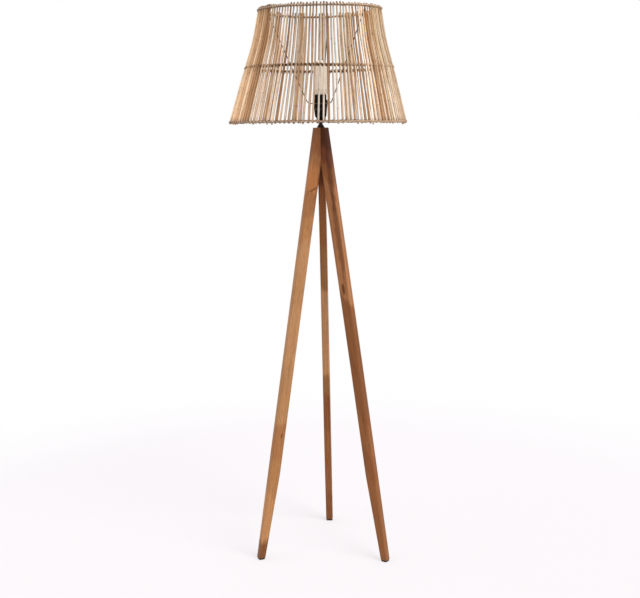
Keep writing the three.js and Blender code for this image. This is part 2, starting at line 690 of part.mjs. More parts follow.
// An arm at azimuth 0: out of the fitter ring, round a kink and straight up to the top hoop.
function armSolid() {
  const level = FITTER_BASE + FITTER_THICKNESS / 2;
  const hoopInside = stickReach(TOP_HOOP_HEIGHT) - STICK_RADIUS - SEAT_GAP - 2 * HOOP_ROD_RADIUS;
  const end = new THREE.Vector2(hoopInside - SEAT_GAP - ARM_WIRE_RADIUS, TOP_HOOP_HEIGHT);
  const kink = new THREE.Vector2(ARM_KINK_REACH, level);
  const rise = end.clone().sub(kink).normalize();
  const bend = [
    new THREE.Vector2(ARM_KINK_REACH - ARM_KINK_ROUND, level),
    kink.clone().addScaledVector(rise, ARM_KINK_ROUND / 4).add(new THREE.Vector2(-ARM_KINK_ROUND / 4, 0)),
    kink.clone().addScaledVector(rise, ARM_KINK_ROUND),
  ];
  const start = new THREE.Vector2(FITTER_RADIUS + SEAT_GAP, level);
  const points = [start, ...bend, end].map(({ x, y }) => new THREE.Vector3(x, 0, y));
  return rod(points, ARM_WIRE_RADIUS, ARM_FACETS);
}

function addFrame() {
  const bore = SKIRT_RADIUS + RUNNING_GAP + SEAT_GAP;
  place('fitter_ring', turned([
    [bore, FITTER_BASE],
    [FITTER_RADIUS, FITTER_BASE],
    [FITTER_RADIUS, FITTER_BASE + FITTER_THICKNESS],
    [bore, FITTER_BASE + FITTER_THICKNESS],
  ], FINE_SIDES), BLACK_STEEL);
  ARM_SIDES.forEach((side, i) => {
    const azimuth = FIRST_ARM_ANGLE + 360 * i / ARM_SIDES.length;
    place(`shade_arm_${side}`, armSolid(), BLACK_STEEL, azimuth);
  });
}

addTripod();
addStem();
addHolderCap();
addHolderBody();
addRingNut();
addHolderInsert();
addCentreContact();
addBulb();
addShade();
addFrame();

export default group;
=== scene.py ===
"""A rattan floor lamp, dressed for its portrait.

Three teak planks make a tripod, a threaded tube in its head carries a black lampholder, and a
shade of natural sticks laced to three hoops hangs on the holder by three wires. Every surface
is worked out with numpy, in metres, with +Z up and the origin on the floor under the lamp.
"""

import logging
import math
from collections.abc import Callable, Sequence
from dataclasses import dataclass, field
from enum import Enum

import bpy
import numpy as np
from mathutils import Matrix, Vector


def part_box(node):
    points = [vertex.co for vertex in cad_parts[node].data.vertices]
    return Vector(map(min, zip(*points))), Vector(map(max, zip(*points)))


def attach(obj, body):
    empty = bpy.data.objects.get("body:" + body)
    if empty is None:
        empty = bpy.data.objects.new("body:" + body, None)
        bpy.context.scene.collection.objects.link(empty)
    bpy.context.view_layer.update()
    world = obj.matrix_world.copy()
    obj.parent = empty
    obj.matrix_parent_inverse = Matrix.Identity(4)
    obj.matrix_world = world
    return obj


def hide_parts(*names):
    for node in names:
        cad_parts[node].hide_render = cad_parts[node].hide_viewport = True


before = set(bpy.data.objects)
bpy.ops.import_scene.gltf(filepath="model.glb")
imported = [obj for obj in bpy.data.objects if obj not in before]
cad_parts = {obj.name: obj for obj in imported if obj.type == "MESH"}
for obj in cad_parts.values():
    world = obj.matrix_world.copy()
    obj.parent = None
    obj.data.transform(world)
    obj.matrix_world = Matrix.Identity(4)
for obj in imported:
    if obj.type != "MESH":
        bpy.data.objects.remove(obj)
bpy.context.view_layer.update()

log = logging.getLogger("lamp")
Array = np.ndarray
Pair = tuple[float, float]
Triple = tuple[float, float, float]
Colour = Corner = Triple
Stops = tuple[tuple[float, Colour], ...]
Ripple = Callable[[Array, Array, Array], Array]
Socket = bpy.types.NodeSocket
Material = bpy.types.Material
Materials = dict[str, Material]
MM = 0.001
TURN = 2 * math.pi
# A wave texture of scale 1 turns by this many radians in a metre
WAVE_RATE = 20
# Where the three legs stand, in degrees from the right, anticlockwise seen from above
SIDES = {"left": 210.0, "right": 330.0, "rear": 90.0}


class Body(Enum):
    """The parts of the lamp that move as one."""

    STAND = "stand"
    SHADE = "shade"
    RING_NUT = "ring_nut"
    BULB = "bulb"


def srgb(red: float, green: float, blue: float) -> Colour:
    """Turn a colour as a paint chart gives it, 0 to 255, into the linear light of a shader."""
    shares = (np.array([red, green, blue]) / 255 + 0.055) / 1.055
    return tuple(float(x) for x in shares**2.4)


def grey(level: float) -> Colour:
    """A linear colour with red, green and blue at one level."""
    return (level, level, level)


# Surfaces


@dataclass
class Surface:
    """A closed skin in the making: its points, its faces and what the points carry.

    Attributes:
        points: Places, one row a point.
        faces: Blocks of faces of one number of sides, as rows of point numbers.
        uvs: For each block, the place of every face corner on the unrolled skin, in metres.
        values: Named numbers or colours, one row a point.
    """

    points: Array
    faces: list[Array]
    uvs: list[Array]
    values: dict[str, Array] = field(default_factory=dict)


def round_angles(count: int) -> Array:
    """Angles of evenly spaced places round a circle, in radians, from 0."""
    return np.linspace(0, TURN, count, endpoint=False)


def tubes(points: Array, around: Array, along: Array, closed: bool = False) -> Surface:
    """Skin several tubes at once.

    The points form a grid for each tube: rows follow the path and columns go round the
    section. Each quad joins a point to the next column and the next row. The last column
    meets the first, and so does the last row when the path is closed; otherwise one flat
    many-sided face closes each end.

    Args:
        points: Places, shaped tubes by rows by columns by 3.
        around: Distance round the section at every column and at the close, in metres.
        along: Distance along each path, shaped tubes by rows, or by rows and one on a closed path.
        closed: Whether the path ends where it starts.

    Returns:
        The skin, with its faces outwards where columns turn anticlockwise about the path.
    """
    count, rows, columns = points.shape[:3]
    steps = rows if closed else rows - 1
    row, column = np.meshgrid(np.arange(steps), np.arange(columns), indexing="ij")
    low, high, after = row * columns, (row + 1) % rows * columns, (column + 1) % columns
    cell = np.stack([low + column, low + after, high + after, high + column], axis=-1)
    starts = np.arange(count)[:, None] * rows * columns
    faces = [(cell.reshape(1, -1) + starts).reshape(-1, 4)]
    u = np.stack([around[column], around[column + 1], around[column + 1], around[column]], -1)
    v = np.stack([along[:, row], along[:, row], along[:, row + 1], along[:, row + 1]], -1)
    uvs = [np.stack([np.broadcast_to(u, v.shape), v], axis=-1).reshape(-1, 4, 2)]
    if not closed:
        ring = np.arange(columns)
        last = (rows - 1) * columns
        faces += [ring[::-1] + starts, ring + last + starts]
        angle = TURN * ring / columns
        disc = around[-1] / TURN * np.stack([np.cos(angle), np.sin(angle)], axis=-1)
        uvs += [np.broadcast_to(end, (count, columns, 2)) for end in (disc[::-1], disc)]
    return Surface(points.reshape(-1, 3), faces, uvs)


def profile_length(profile: Array) -> Array:
    """Measure how far along an outline each of its points lies, from zero."""
    return np.concatenate([[0.0], np.cumsum(np.linalg.norm(np.diff(profile, axis=0), axis=1))])


def curved(start: Array, corner: Array, end: Array, steps: int) -> Array:
    """Draw (1-t)^2 start + 2 t (1-t) corner + t^2 end, which turns softly inside the corner."""
    t = np.linspace(0, 1, steps + 1)[:, None]
    return (1 - t) ** 2 * start + 2 * t * (1 - t) * corner + t**2 * end


def eased(corners: Sequence[Corner], steps: int = 4) -> Array:
    """Round the corners of an outline.

    Each corner is swapped for a curve that starts and ends at the corner's easing distance
    along the two runs that meet there, or at half the run where that is shorter.

    Args:
        corners: Radius, height and easing distance of every corner, in millimetres.
        steps: Runs on each rounded corner.

    Returns:
        The points as radius and height, in metres.
    """
    given = np.array(corners, float) * MM
    places, reach = given[:, :2], given[:, 2]
    points = []
    for i, corner in enumerate(places):
        if reach[i] == 0:
            points.append(corner[None])
            continue
        before, after = places[i - 1] - corner, places[(i + 1) % len(places)] - corner
        start, end = (
            corner + run * min(reach[i] / np.linalg.norm(run), 0.5) for run in (before, after)
        )
        points.append(curved(start, corner, end, steps))
    return np.concatenate(points)


def turned(corners: Sequence[Corner], sides: int, *ripples: Ripple, loop: bool = True) -> Surface:
    """Turn an outline with eased corners about the lamp's axis.

    A point is (r cos a, r sin a, z) for the outline's radius r and height z. The outline
    runs up on the outside, so that the faces look outwards.

    Args:
        corners: What eased() takes, closed on itself or with both ends near the axis.
        sides: Steps round the axis.
        ripples: Each adds to the radius, given angle, radius and height, all of one shape.
        loop: Whether the outline closes on itself.

    Returns:
        The skin.
    """
    profile = eased(corners)
    radius = np.repeat(profile[:, :1], sides, axis=1)
    height = np.repeat(profile[:, 1:], sides, axis=1)
    angles = np.broadcast_to(round_angles(sides), radius.shape)
    radius = radius + sum(ripple(angles, radius, height) for ripple in ripples)
    grid = np.stack([radius * np.cos(angles), radius * np.sin(angles), height], axis=-1)
    around = np.linspace(0, TURN, sides + 1) * profile[:, 0].max()
    outline = np.concatenate([profile, profile[:1]]) if loop else profile
    return tubes(grid[None], around, profile_length(outline)[None], closed=loop)


def swept(path: Array, section: Array, closed: bool = False, up: Array | None = None) -> Surface:
    """Carry a flat outline along a path.

    At every point the section's first axis lies square to the path and to the up vector, and
    its second axis completes the frame.

    Args:
        path: Places along the middle line, in metres.
        section: Outline round the middle, anticlockwise about the path, in metres, or one
            outline for every place.
        closed: Whether the path ends where it starts.
        up: A vector for the whole path, or one for every place. Left out, it is +Z.

    Returns:
        The skin.
    """
    if closed:
        ahead = np.roll(path, -1, axis=0) - np.roll(path, 1, axis=0)
    else:
        ahead = np.gradient(path, axis=0)
    ahead = ahead / np.linalg.norm(ahead, axis=1, keepdims=True)
    up = np.array([0.0, 0.0, 1.0]) if up is None else up
    second = up - np.sum(ahead * up, axis=1, keepdims=True) * ahead
    second = second / np.linalg.norm(second, axis=1, keepdims=True)
    first = np.cross(second, ahead)
    outline = np.broadcast_to(section, (len(path), *section.shape[-2:]))
    grid = path[:, None] + outline[..., :1] * first[:, None] + outline[..., 1:] * second[:, None]
    edge = section.reshape(-1, *section.shape[-2:])[0]
    around = profile_length(np.concatenate([edge, edge[:1]]))
    whole = np.concatenate([path, path[:1]]) if closed else path
    return tubes(grid[None], around, profile_length(whole)[None], closed)


def ring_section(radius: float, sides: int) -> Array:
    """Give a round outline, anticlockwise, its radius in metres."""
    angle = round_angles(sides)
    return radius * np.stack([np.cos(angle), np.sin(angle)], axis=-1)


def strip_section(width: float, thickness: float) -> Array:
    """Give the outline of a split cane: flat inside, its skin side a low curve.

    Args:
        width: Along the second axis, in metres.
        thickness: Along the first axis, in metres.

    Returns:
        Eight points, anticlockwise.
    """
    half_shares = np.array([(-0.5, -0.46), (0.2, -0.5), (0.42, -0.36), (0.5, -0.14)])
    shares = np.concatenate([half_shares, half_shares[::-1] * (1, -1)])
    return shares * (thickness, width)


# Node trees


@dataclass(frozen=True)
class Clouds:
    """A cloudy pattern, as fibres, patches or stains.

    Attributes:
        scale: Clouds in a metre on each axis.
        detail: Finer layers on top.
        rough: How strong the finer layers are.
        shift: Which part of the pattern is used.
    """

    scale: Triple
    detail: float = 2.0
    rough: float = 0.5
    shift: Triple = (0.0, 0.0, 0.0)


class NodeTree:
    """A tree of shader nodes that is written as calls, one for each node."""

    def __init__(self, tree: bpy.types.NodeTree) -> None:
        """Take over a material's tree or a world's."""
        self.tree = tree

    def add(self, kind: str, inputs: dict | None = None, **settings: object) -> bpy.types.Node:
        """Add a node.

        Args:
            kind: The node's type, without its leading ShaderNode.
            inputs: Values or sockets for its inputs, by name or number.
            settings: Properties of the node.

        Returns:
            The node.
        """
        node = self.tree.nodes.new("ShaderNode" + kind)
        for name, value in settings.items():
            setattr(node, name, value)
        for name, value in (inputs or {}).items():
            self.feed(node.inputs[name], value)
        return node

    def feed(self, socket: Socket, value: object) -> None:
        """Link a socket to an input, or set the input's own value.

        Args:
            socket: The input.
            value: An output socket, a number, a vector or a linear colour.
        """
        if isinstance(value, bpy.types.NodeSocket):
            self.tree.links.new(value, socket)
        elif socket.type == "RGBA" and len(value) == 3:
            socket.default_value = (*value, 1.0)
        else:
            socket.default_value = value

    def math(self, operation: str, first: object, second: object = 0.0) -> Socket:
        """Work out a number from one or two others, each a socket or a number."""
        return self.add("Math", {0: first, 1: second}, operation=operation).outputs[0]

    def seen(self) -> Socket:
        """Tell whether a surface is looked at straight, in a mirror or through glass."""
        ray = self.add("LightPath").outputs
        straight = self.math("MAXIMUM", ray["Is Camera Ray"], ray["Is Glossy Ray"])
        return self.math("MAXIMUM", straight, ray["Is Transmission Ray"])

    def here(self) -> Socket:
        """Give the place in the object's own coordinates."""
        return self.add("TexCoord").outputs["Object"]

    def skin(self) -> Socket:
        """Give the place on the piece's unrolled skin."""
        return self.add("UVMap", uv_map="skin").outputs[0]

    def carried(self, name: str, kind: str) -> Socket:
        """Read what the piece's points carry under a name, as Color or as Fac."""
        return self.add("Attribute", attribute_name=name).outputs[kind]

    def apart(self, vector: Socket) -> bpy.types.bpy_prop_collection:
        """Split a place into its X, Y and Z."""
        return self.add("SeparateXYZ", {0: vector}).outputs

    def length(self, vector: Socket) -> Socket:
        """Measure how far a place lies from the origin."""
        return self.add("VectorMath", {0: vector}, operation="LENGTH").outputs["Value"]

    def place(
        self,
        vector: Socket | None = None,
        scale: Sequence[float] = (1, 1, 1),
        turn: Sequence[float] = (0, 0, 0),
        shift: Sequence[float] = (0, 0, 0),
        kind: str = "POINT",
    ) -> Socket:
        """Scale, turn and shift a place.

        Args:
            vector: The place. Left out, it is the object's own coordinates.
            scale: Factor on each axis.
            turn: Turn about each axis, in radians.
            shift: Move along each axis.
            kind: POINT scales, turns and moves; TEXTURE undoes them.

        Returns:
            The new place.
        """
        vector = vector or self.here()
        values = {"Vector": vector, "Scale": scale, "Rotation": turn, "Location": shift}
        return self.add("Mapping", values, vector_type=kind).outputs[0]

    def noise(self, vector: Socket, scale: float, detail: float = 2.0, rough: float = 0.5) -> Socket:
        """Give cloudy noise from 0 to 1, with a number of clouds in a metre and finer layers on top."""
        inputs = {"Vector": vector, "Scale": scale, "Detail": detail, "Roughness": rough}
        return self.add("TexNoise", inputs).outputs[0]

    def clouds(self, vector: Socket, pattern: Clouds, seed: float = 0.0) -> Socket:
        """Give a cloudy pattern from 0 to 1, moved further by the seed on every axis."""
        shift = [part + seed for part in pattern.shift]
        place = self.place(vector, pattern.scale, shift=shift)
        return self.noise(place, 1.0, pattern.detail, pattern.rough)

    def ramp(self, factor: Socket, stops: Stops) -> Socket:
        """Turn a number into a colour.

        Args:
            factor: The number, from 0 to 1.
            stops: Positions, lowest first, each with its linear colour.

        Returns:
            The colour's socket.
        """
        node = self.add("ValToRGB", {0: factor})
        elements = node.color_ramp.elements
        for i, (position, colour) in enumerate(stops):
            stop = elements[i] if i < 2 else elements.new(position)
            stop.position = position
            stop.color = (*colour, 1.0)
        return node.outputs[0]

    def remap(self, value: Socket, low: float, high: float, first: float = 0, last: float = 1) -> Socket:
        """Turn low into first and high into last, smoothly between them and held beyond."""
        inputs = {0: value, 1: low, 2: high, 3: first, 4: last}
        return self.add("MapRange", inputs, interpolation_type="SMOOTHSTEP").outputs[0]

    def mix(self, factor: object, first: object, second: object, blend: str = "MIX") -> Socket:
        """Mix two colours.

        Args:
            factor: How much of the second, 0 to 1.
            first: A colour or its socket.
            second: A colour or its socket.
            blend: How the second is laid over the first.

        Returns:
            The colour's socket.
        """
        node = self.add("Mix", data_type="RGBA", blend_type=blend)
        for index, value in ((0, factor), (6, first), (7, second)):
            self.feed(node.inputs[index], value)
        return node.outputs[2]

    def tinted(self, strength: float, colour: Socket, factor: Socket, stops: Stops) -> Socket:
        """Multiply a colour, to a strength from 0 to 1, by the tones that a pattern gives."""
        return self.mix(strength, colour, self.ramp(factor, stops), "MULTIPLY")


class Shader(NodeTree):
    """A material with one surface."""

    def __init__(self, name: str) -> None:
        """Start a material with a plain surface."""
        self.material = bpy.data.materials.new(name)
        self.material.use_nodes = True
        super().__init__(self.material.node_tree)
        self.tree.nodes.clear()
        self.surface = self.add("BsdfPrincipled")
        self.output = self.add("OutputMaterial", {"Surface": self.surface.outputs[0]})

    def set(self, **inputs: object) -> None:
        """Set the surface's inputs, with underscores for the spaces in their names."""
        for name, value in inputs.items():
            self.feed(self.surface.inputs[name.replace("_", " ")], value)

    def bump(self, height: Socket, depth: float, strength: float = 1.0) -> None:
        """Let a pattern stand out of the surface by a depth in metres."""
        node = self.add("Bump", {"Height": height, "Distance": depth, "Strength": strength})
        self.set(Normal=node.outputs[0])


# Finishes


@dataclass(frozen=True)
class Knot:
    """A knot in a plank, or a dark fleck. Sizes in millimetres.

    Attributes:
        height: Its middle above the floor.
        side: Outwards from the leg's outer edge, so that it is below nought.
        face: How far it lies from the middle of the plank's thickness.
        width: Across the grain.
        length: Along the grain.
        depth: How much of its dark colour shows, 0 to 1.
        tilt: How far its width turns down towards the leg's outer edge, in degrees.
    """

    height: float
    side: float
    face: float
    width: float
    length: float
    depth: float = 0.8
    tilt: float = 0.0


@dataclass(frozen=True)
class TeakFinish:
    """Oiled teak: straight grain in growth rings, fine dark pores, and heart tones by height.

    Sizes are in millimetres, but metres for the pith.

    Attributes:
        tones: Heights above the floor, lowest first, each with the wood's colour from there up.
        pith: Where the tree's middle lies from the leg's outer edge, out and across.
        seed: Shifts its grain along the plank.
        slant: How far a border between tones falls for every step outwards.
        border: Half the height over which one tone turns into the next.
        wander: How far a border may wander up and down in all.
        ring_draw: How fast the rings change along the plank, against across it.
        streaks: Long fine lines between the rings, tinted by streak_tones.
        pore_span: Where on their pattern the short dark dashes start and where they are full.
        knot_span: Where a knot starts to show and where it is full, in its own half sizes.
        relief: Depth of rings and pores.
    """

    name: str
    tones: Stops
    pith: Pair
    knots: tuple[Knot, ...] = ()
    seed: float = 0.0
    slant: float = 0.0
    border: float = 9.0
    wander: float = 90.0
    drift: Clouds = Clouds((28, 28, 5), 3)
    ring_spacing: float = 2.6
    ring_draw: float = 0.07
    ring_tones: Stops = ((0.0, grey(0.92)), (0.55, grey(1.07)), (0.92, grey(0.7)), (1.0, grey(0.9)))
    ring_strength: float = 0.85
    streaks: Clouds = Clouds((420, 420, 7), 4, 0.6)
    streak_tones: Stops = ((0.28, (0.72, 0.66, 0.6)), (0.52, grey(1.0)), (0.75, (1.16, 1.15, 1.12)))
    streak_strength: float = 0.9
    pores: Clouds = Clouds((1500, 1500, 55), 1, 0.4)
    pore_span: Pair = (0.58, 0.7)
    pore_strength: float = 0.42
    pore_colour: Colour = srgb(74, 42, 22)
    knot_rim: Clouds = Clouds((160, 160, 50), 2)
    knot_span: Pair = (0.62, 0.3)
    knot_colour: Colour = srgb(80, 34, 0)
    gloss: Clouds = Clouds((60, 60, 9), 2)
    roughness: float = 0.5
    shine: float = 0.22
    relief: float = 0.12
    relief_strength: float = 0.7

    def material(self, azimuth: float, slope: float, head: float, reach: float) -> Material:
        """Make the wood of one leg.

        Args:
            azimuth: Where the leg stands, in radians.
            slope: How far it leans from upright, in radians.
            head: Height of the tripod's head, in metres.
            reach: From the lamp's axis to the leg's outer edge at the head, in metres.

        Returns:
            The material.
        """
        shader = Shader(self.name)
        plank = shader.place(turn=(0, -slope, azimuth), shift=(0, 0, head), kind="TEXTURE")
        plank = shader.place(plank, shift=(-reach, 0, 0))
        lowered = shader.math("MULTIPLY", shader.apart(plank)["X"], self.slant)
        height = shader.math("ADD", shader.apart(shader.here())["Z"], lowered)
        drift = shader.clouds(plank, self.drift, self.seed)
        colour = self.toned(shader, height, drift, head)
        colour, rings = self.ringed(shader, plank, colour)
        pores = shader.remap(shader.clouds(plank, self.pores), *self.pore_span)
        colour = shader.mix(shader.math("MULTIPLY", pores, self.pore_strength), colour, self.pore_colour)
        for knot in self.knots:
            middle = (knot.side * MM, knot.face * MM, (knot.height * MM - head) / math.cos(slope))
            colour = self.knotted(shader, plank, colour, knot, middle)
        gloss = shader.clouds(plank, self.gloss)
        roughness = shader.remap(gloss, 0.3, 0.7, self.roughness - 0.06, self.roughness + 0.1)
        shader.set(Base_Color=colour, Roughness=roughness, Specular_IOR_Level=self.shine)
        shader.bump(shader.math("SUBTRACT", rings, pores), self.relief * MM, self.relief_strength)
        return shader.material

    def toned(self, shader: Shader, height: Socket, drift: Socket, head: float) -> Socket:
        """Lay the heart tones one above the other, with borders that wander.

        Args:
            shader: The material.
            height: Height above the floor, moved by the borders' slant.
            drift: Slow noise that moves the borders.
            head: Height of the tripod's head, in metres.

        Returns:
            The colour's socket.
        """
        wander = shader.math("MULTIPLY", shader.math("SUBTRACT", drift, 0.5), self.wander * MM)
        level = shader.math("DIVIDE", shader.math("ADD", height, wander), head)
        border = self.border * MM / head
        stops = [(self.tones[0][0] * MM / head, self.tones[0][1])]
        for (_, below), (start, above) in zip(self.tones, self.tones[1:]):
            stops += [(start * MM / head - border, below), (start * MM / head + border, above)]
        return shader.ramp(level, stops)

    def ringed(self, shader: Shader, plank: Socket, colour: Socket) -> tuple[Socket, Socket]:
        """Draw the growth rings, as circles round the pith that wander slowly along the plank.

        Args:
            shader: The material.
            plank: Places in the leg's own frame.
            colour: The colour so far.

        Returns:
            The new colour, and the rings from 0 to 1.
        """
        out, across = self.pith
        centred = shader.place(plank, scale=(1, 1, self.ring_draw), shift=(-out, -across, self.seed))
        inputs = {
            "Vector": centred, "Scale": TURN / WAVE_RATE / (self.ring_spacing * MM),
            "Distortion": 5.0, "Detail": 3.0, "Detail Scale": 0.32, "Detail Roughness": 0.55,
        }
        wave = shader.add("TexWave", inputs, wave_type="RINGS", rings_direction="Z", wave_profile="SAW")
        rings = wave.outputs["Fac"]
        colour = shader.tinted(self.ring_strength, colour, rings, self.ring_tones)
        streaks = shader.clouds(plank, self.streaks, self.seed)
        return shader.tinted(self.streak_strength, colour, streaks, self.streak_tones), rings

    def knotted(self, shader: Shader, plank: Socket, colour: Socket, knot: Knot, middle: Triple) -> Socket:
        """Lay a knot over the wood, as a long spot with a warped, soft edge.

        Args:
            shader: The material.
            plank: Places in the leg's own frame.
            colour: The colour so far.
            knot: The knot.
            middle: Its middle in the leg's own frame, in metres.

        Returns:
            The new colour.
        """
        size = (knot.width * MM, knot.width * MM, knot.length * MM)
        turn = (0, math.radians(knot.tilt), 0)
        near = shader.place(plank, turn=turn, shift=middle, scale=size, kind="TEXTURE")
        warp = shader.math("SUBTRACT", shader.clouds(plank, self.knot_rim), 0.5)
        reach = shader.math("ADD", shader.length(near), shader.math("MULTIPLY", warp, 0.5))
        return shader.mix(shader.remap(reach, *self.knot_span, 0, knot.depth), colour, self.knot_colour)


@dataclass(frozen=True)
class StickFinish:
    """Natural rattan: each stick has its own tone, with painted light and shade, fine fibres and darker
    rings at its nodes.

    Attributes:
        fibres: Fine lines along the stick, tinted by fibre_tones, and the others alike.
        tints: Slow changes between pinkish and greenish.
        stain_span: Where on their pattern the stains start and where they are full.
        pith_colour: Of the cut ends.
        relief: Depth of fibres and stains, in millimetres.
    """

    name: str = "natural_rattan"
    fibres: Clouds = Clouds((2600, 60, 1), 3, 0.6)
    fibre_tones: Stops = ((0.25, (0.82, 0.79, 0.75)), (0.7, grey(1.08)))
    patches: Clouds = Clouds((170, 26, 1), 3, 0.6, (3, 7, 0))
    patch_tones: Stops = ((0.3, (0.66, 0.59, 0.51)), (0.5, grey(1.0)), (0.72, (1.18, 1.18, 1.16)))
    tints: Clouds = Clouds((14, 9, 1), 2, shift=(5, 3, 0))
    tint_tones: Stops = ((0.36, (1.03, 0.95, 0.88)), (0.5, grey(1.0)), (0.64, (0.98, 0.99, 0.92)))
    stains: Clouds = Clouds((330, 75, 1), 4, 0.65, (11, 2, 0))
    stain_span: Pair = (0.63, 0.74)
    stain_strength: float = 0.6
    stain_colour: Colour = srgb(112, 80, 52)
    node_strength: float = 0.4
    node_colour: Colour = srgb(108, 72, 46)
    pith_strength: float = 0.7
    pith_colour: Colour = srgb(138, 104, 74)
    roughness: float = 0.55
    shine: float = 0.18
    relief: float = 0.1

    def material(self) -> Material:
        """Make the material, which reads the sticks' own tones with their painted light and shade, marks
        and unrolled skin.
        """
        shader = Shader(self.name)
        colour = shader.carried("stick_tone_and_shading", "Color")
        skin = shader.skin()
        fibre, patch = shader.clouds(skin, self.fibres), shader.clouds(skin, self.patches)
        stain, tint = shader.clouds(skin, self.stains), shader.clouds(skin, self.tints)
        colour = shader.tinted(0.9, colour, fibre, self.fibre_tones)
        colour = shader.tinted(0.85, colour, patch, self.patch_tones)
        colour = shader.tinted(0.8, colour, tint, self.tint_tones)
        stained = shader.remap(stain, *self.stain_span, 0, self.stain_strength)
        colour = shader.mix(stained, colour, self.stain_colour)
        for name, strength, mark in (
            ("node_mark", self.node_strength, self.node_colour),
            ("cut_end", self.pith_strength, self.pith_colour),
        ):
            share = shader.math("MULTIPLY", shader.carried(name, "Fac"), strength)
            colour = shader.mix(share, colour, mark)
        rough = shader.remap(patch, 0.35, 0.7, self.roughness + 0.12, self.roughness - 0.08)
        shader.set(Base_Color=colour, Roughness=rough, Specular_IOR_Level=self.shine)
        shader.bump(shader.mix(0.5, fibre, stain), self.relief * MM, 0.6)
        return shader.material


@dataclass(frozen=True)
class CaneFinish:
    """Split cane or hoop rod: one tone that wanders along its length, with fine fibres, and painted light
    that makes it paler on the shade's right side.

    Attributes:
        spread: How much of a metre one change of tone takes.
        painted_light: How much paler it is drawn at the shade's right side, as painted light where the sun
            falls.
        painted_light_span: From where to where the painted light grows, to the right of the axis, in
            metres.
        painted_light_colour: The pale tone that the painted light turns it to.
        relief: Depth of the fibres, in millimetres.
    """

    name: str
    pale: Colour
    dark: Colour
    spread: float = 0.03
    painted_light: float = 0.0
    painted_light_span: Pair = (0.02, 0.14)
    painted_light_colour: Colour = srgb(236, 206, 172)
    fibres: Clouds = Clouds((2200, 90, 1), 3, 0.6)
    fibre_tones: Stops = ((0.25, (0.74, 0.72, 0.7)), (0.72, grey(1.08)))
    roughness: float = 0.55
    shine: float = 0.2
    relief: float = 0.1

    def material(self) -> Material:
        """Make the material, which reads the piece's unrolled skin and its own coordinates."""
        shader = Shader(self.name)
        fibre = shader.clouds(shader.skin(), self.fibres)
        wander = shader.noise(shader.place(), 1 / self.spread, 3, 0.6)
        colour = shader.ramp(wander, ((0.36, self.dark), (0.64, self.pale)))
        # Painted light: the cane is drawn paler towards the shade's right side, where the sun falls.
        paler = shader.remap(shader.apart(shader.place())["X"], *self.painted_light_span, 0, self.painted_light)
        colour = shader.mix(paler, colour, self.painted_light_colour)
        shader.set(
            Base_Color=shader.tinted(0.9, colour, fibre, self.fibre_tones),
            Roughness=shader.remap(fibre, 0.3, 0.7, self.roughness + 0.1, self.roughness - 0.08),
            Specular_IOR_Level=self.shine,
        )
        shader.bump(fibre, self.relief * MM, 0.6)
        return shader.material


@dataclass(frozen=True)
class MouldedFinish:
    """A moulded, fired or painted surface: one colour with faint clouds and fine grain.

    Attributes:
        cloud: How strong the clouds are.
        cloud_scale: Clouds in a metre.
        shine: Level of its mirror reflection.
        glow: Strength of a painted glow, light that the surface gives off of its own.
        grain: Depth of the fine grain, in millimetres.
        grain_scale: Grains in a metre.
    """

    name: str
    colour: Colour
    roughness: float
    metal: bool = False
    cloud: float = 0.12
    cloud_scale: float = 140.0
    shine: float = 0.5
    glow: float = 0.0
    grain: float = 0.02
    grain_scale: float = 2500.0

    def material(self) -> Material:
        """Make the material, which reads the piece's own coordinates."""
        shader = Shader(self.name)
        place = shader.place()
        cloud = shader.noise(place, self.cloud_scale, 4, 0.6)
        grain = shader.noise(place, self.grain_scale, 2, 0.5)
        dark = tuple(c * (1 - self.cloud) for c in self.colour)
        pale = tuple(min(c * (1 + self.cloud), 1.0) for c in self.colour)
        low, high = max(self.roughness - 0.07, 0.05), min(self.roughness + 0.1, 1.0)
        shader.set(
            Base_Color=shader.ramp(cloud, ((0.3, dark), (0.7, pale))),
            Roughness=shader.remap(cloud, 0.3, 0.7, low, high),
            Metallic=float(self.metal),
            Specular_IOR_Level=self.shine,
            Emission_Color=self.colour,
            Emission_Strength=self.glow,
        )
        shader.bump(grain, self.grain * MM, 0.5)
        return shader.material


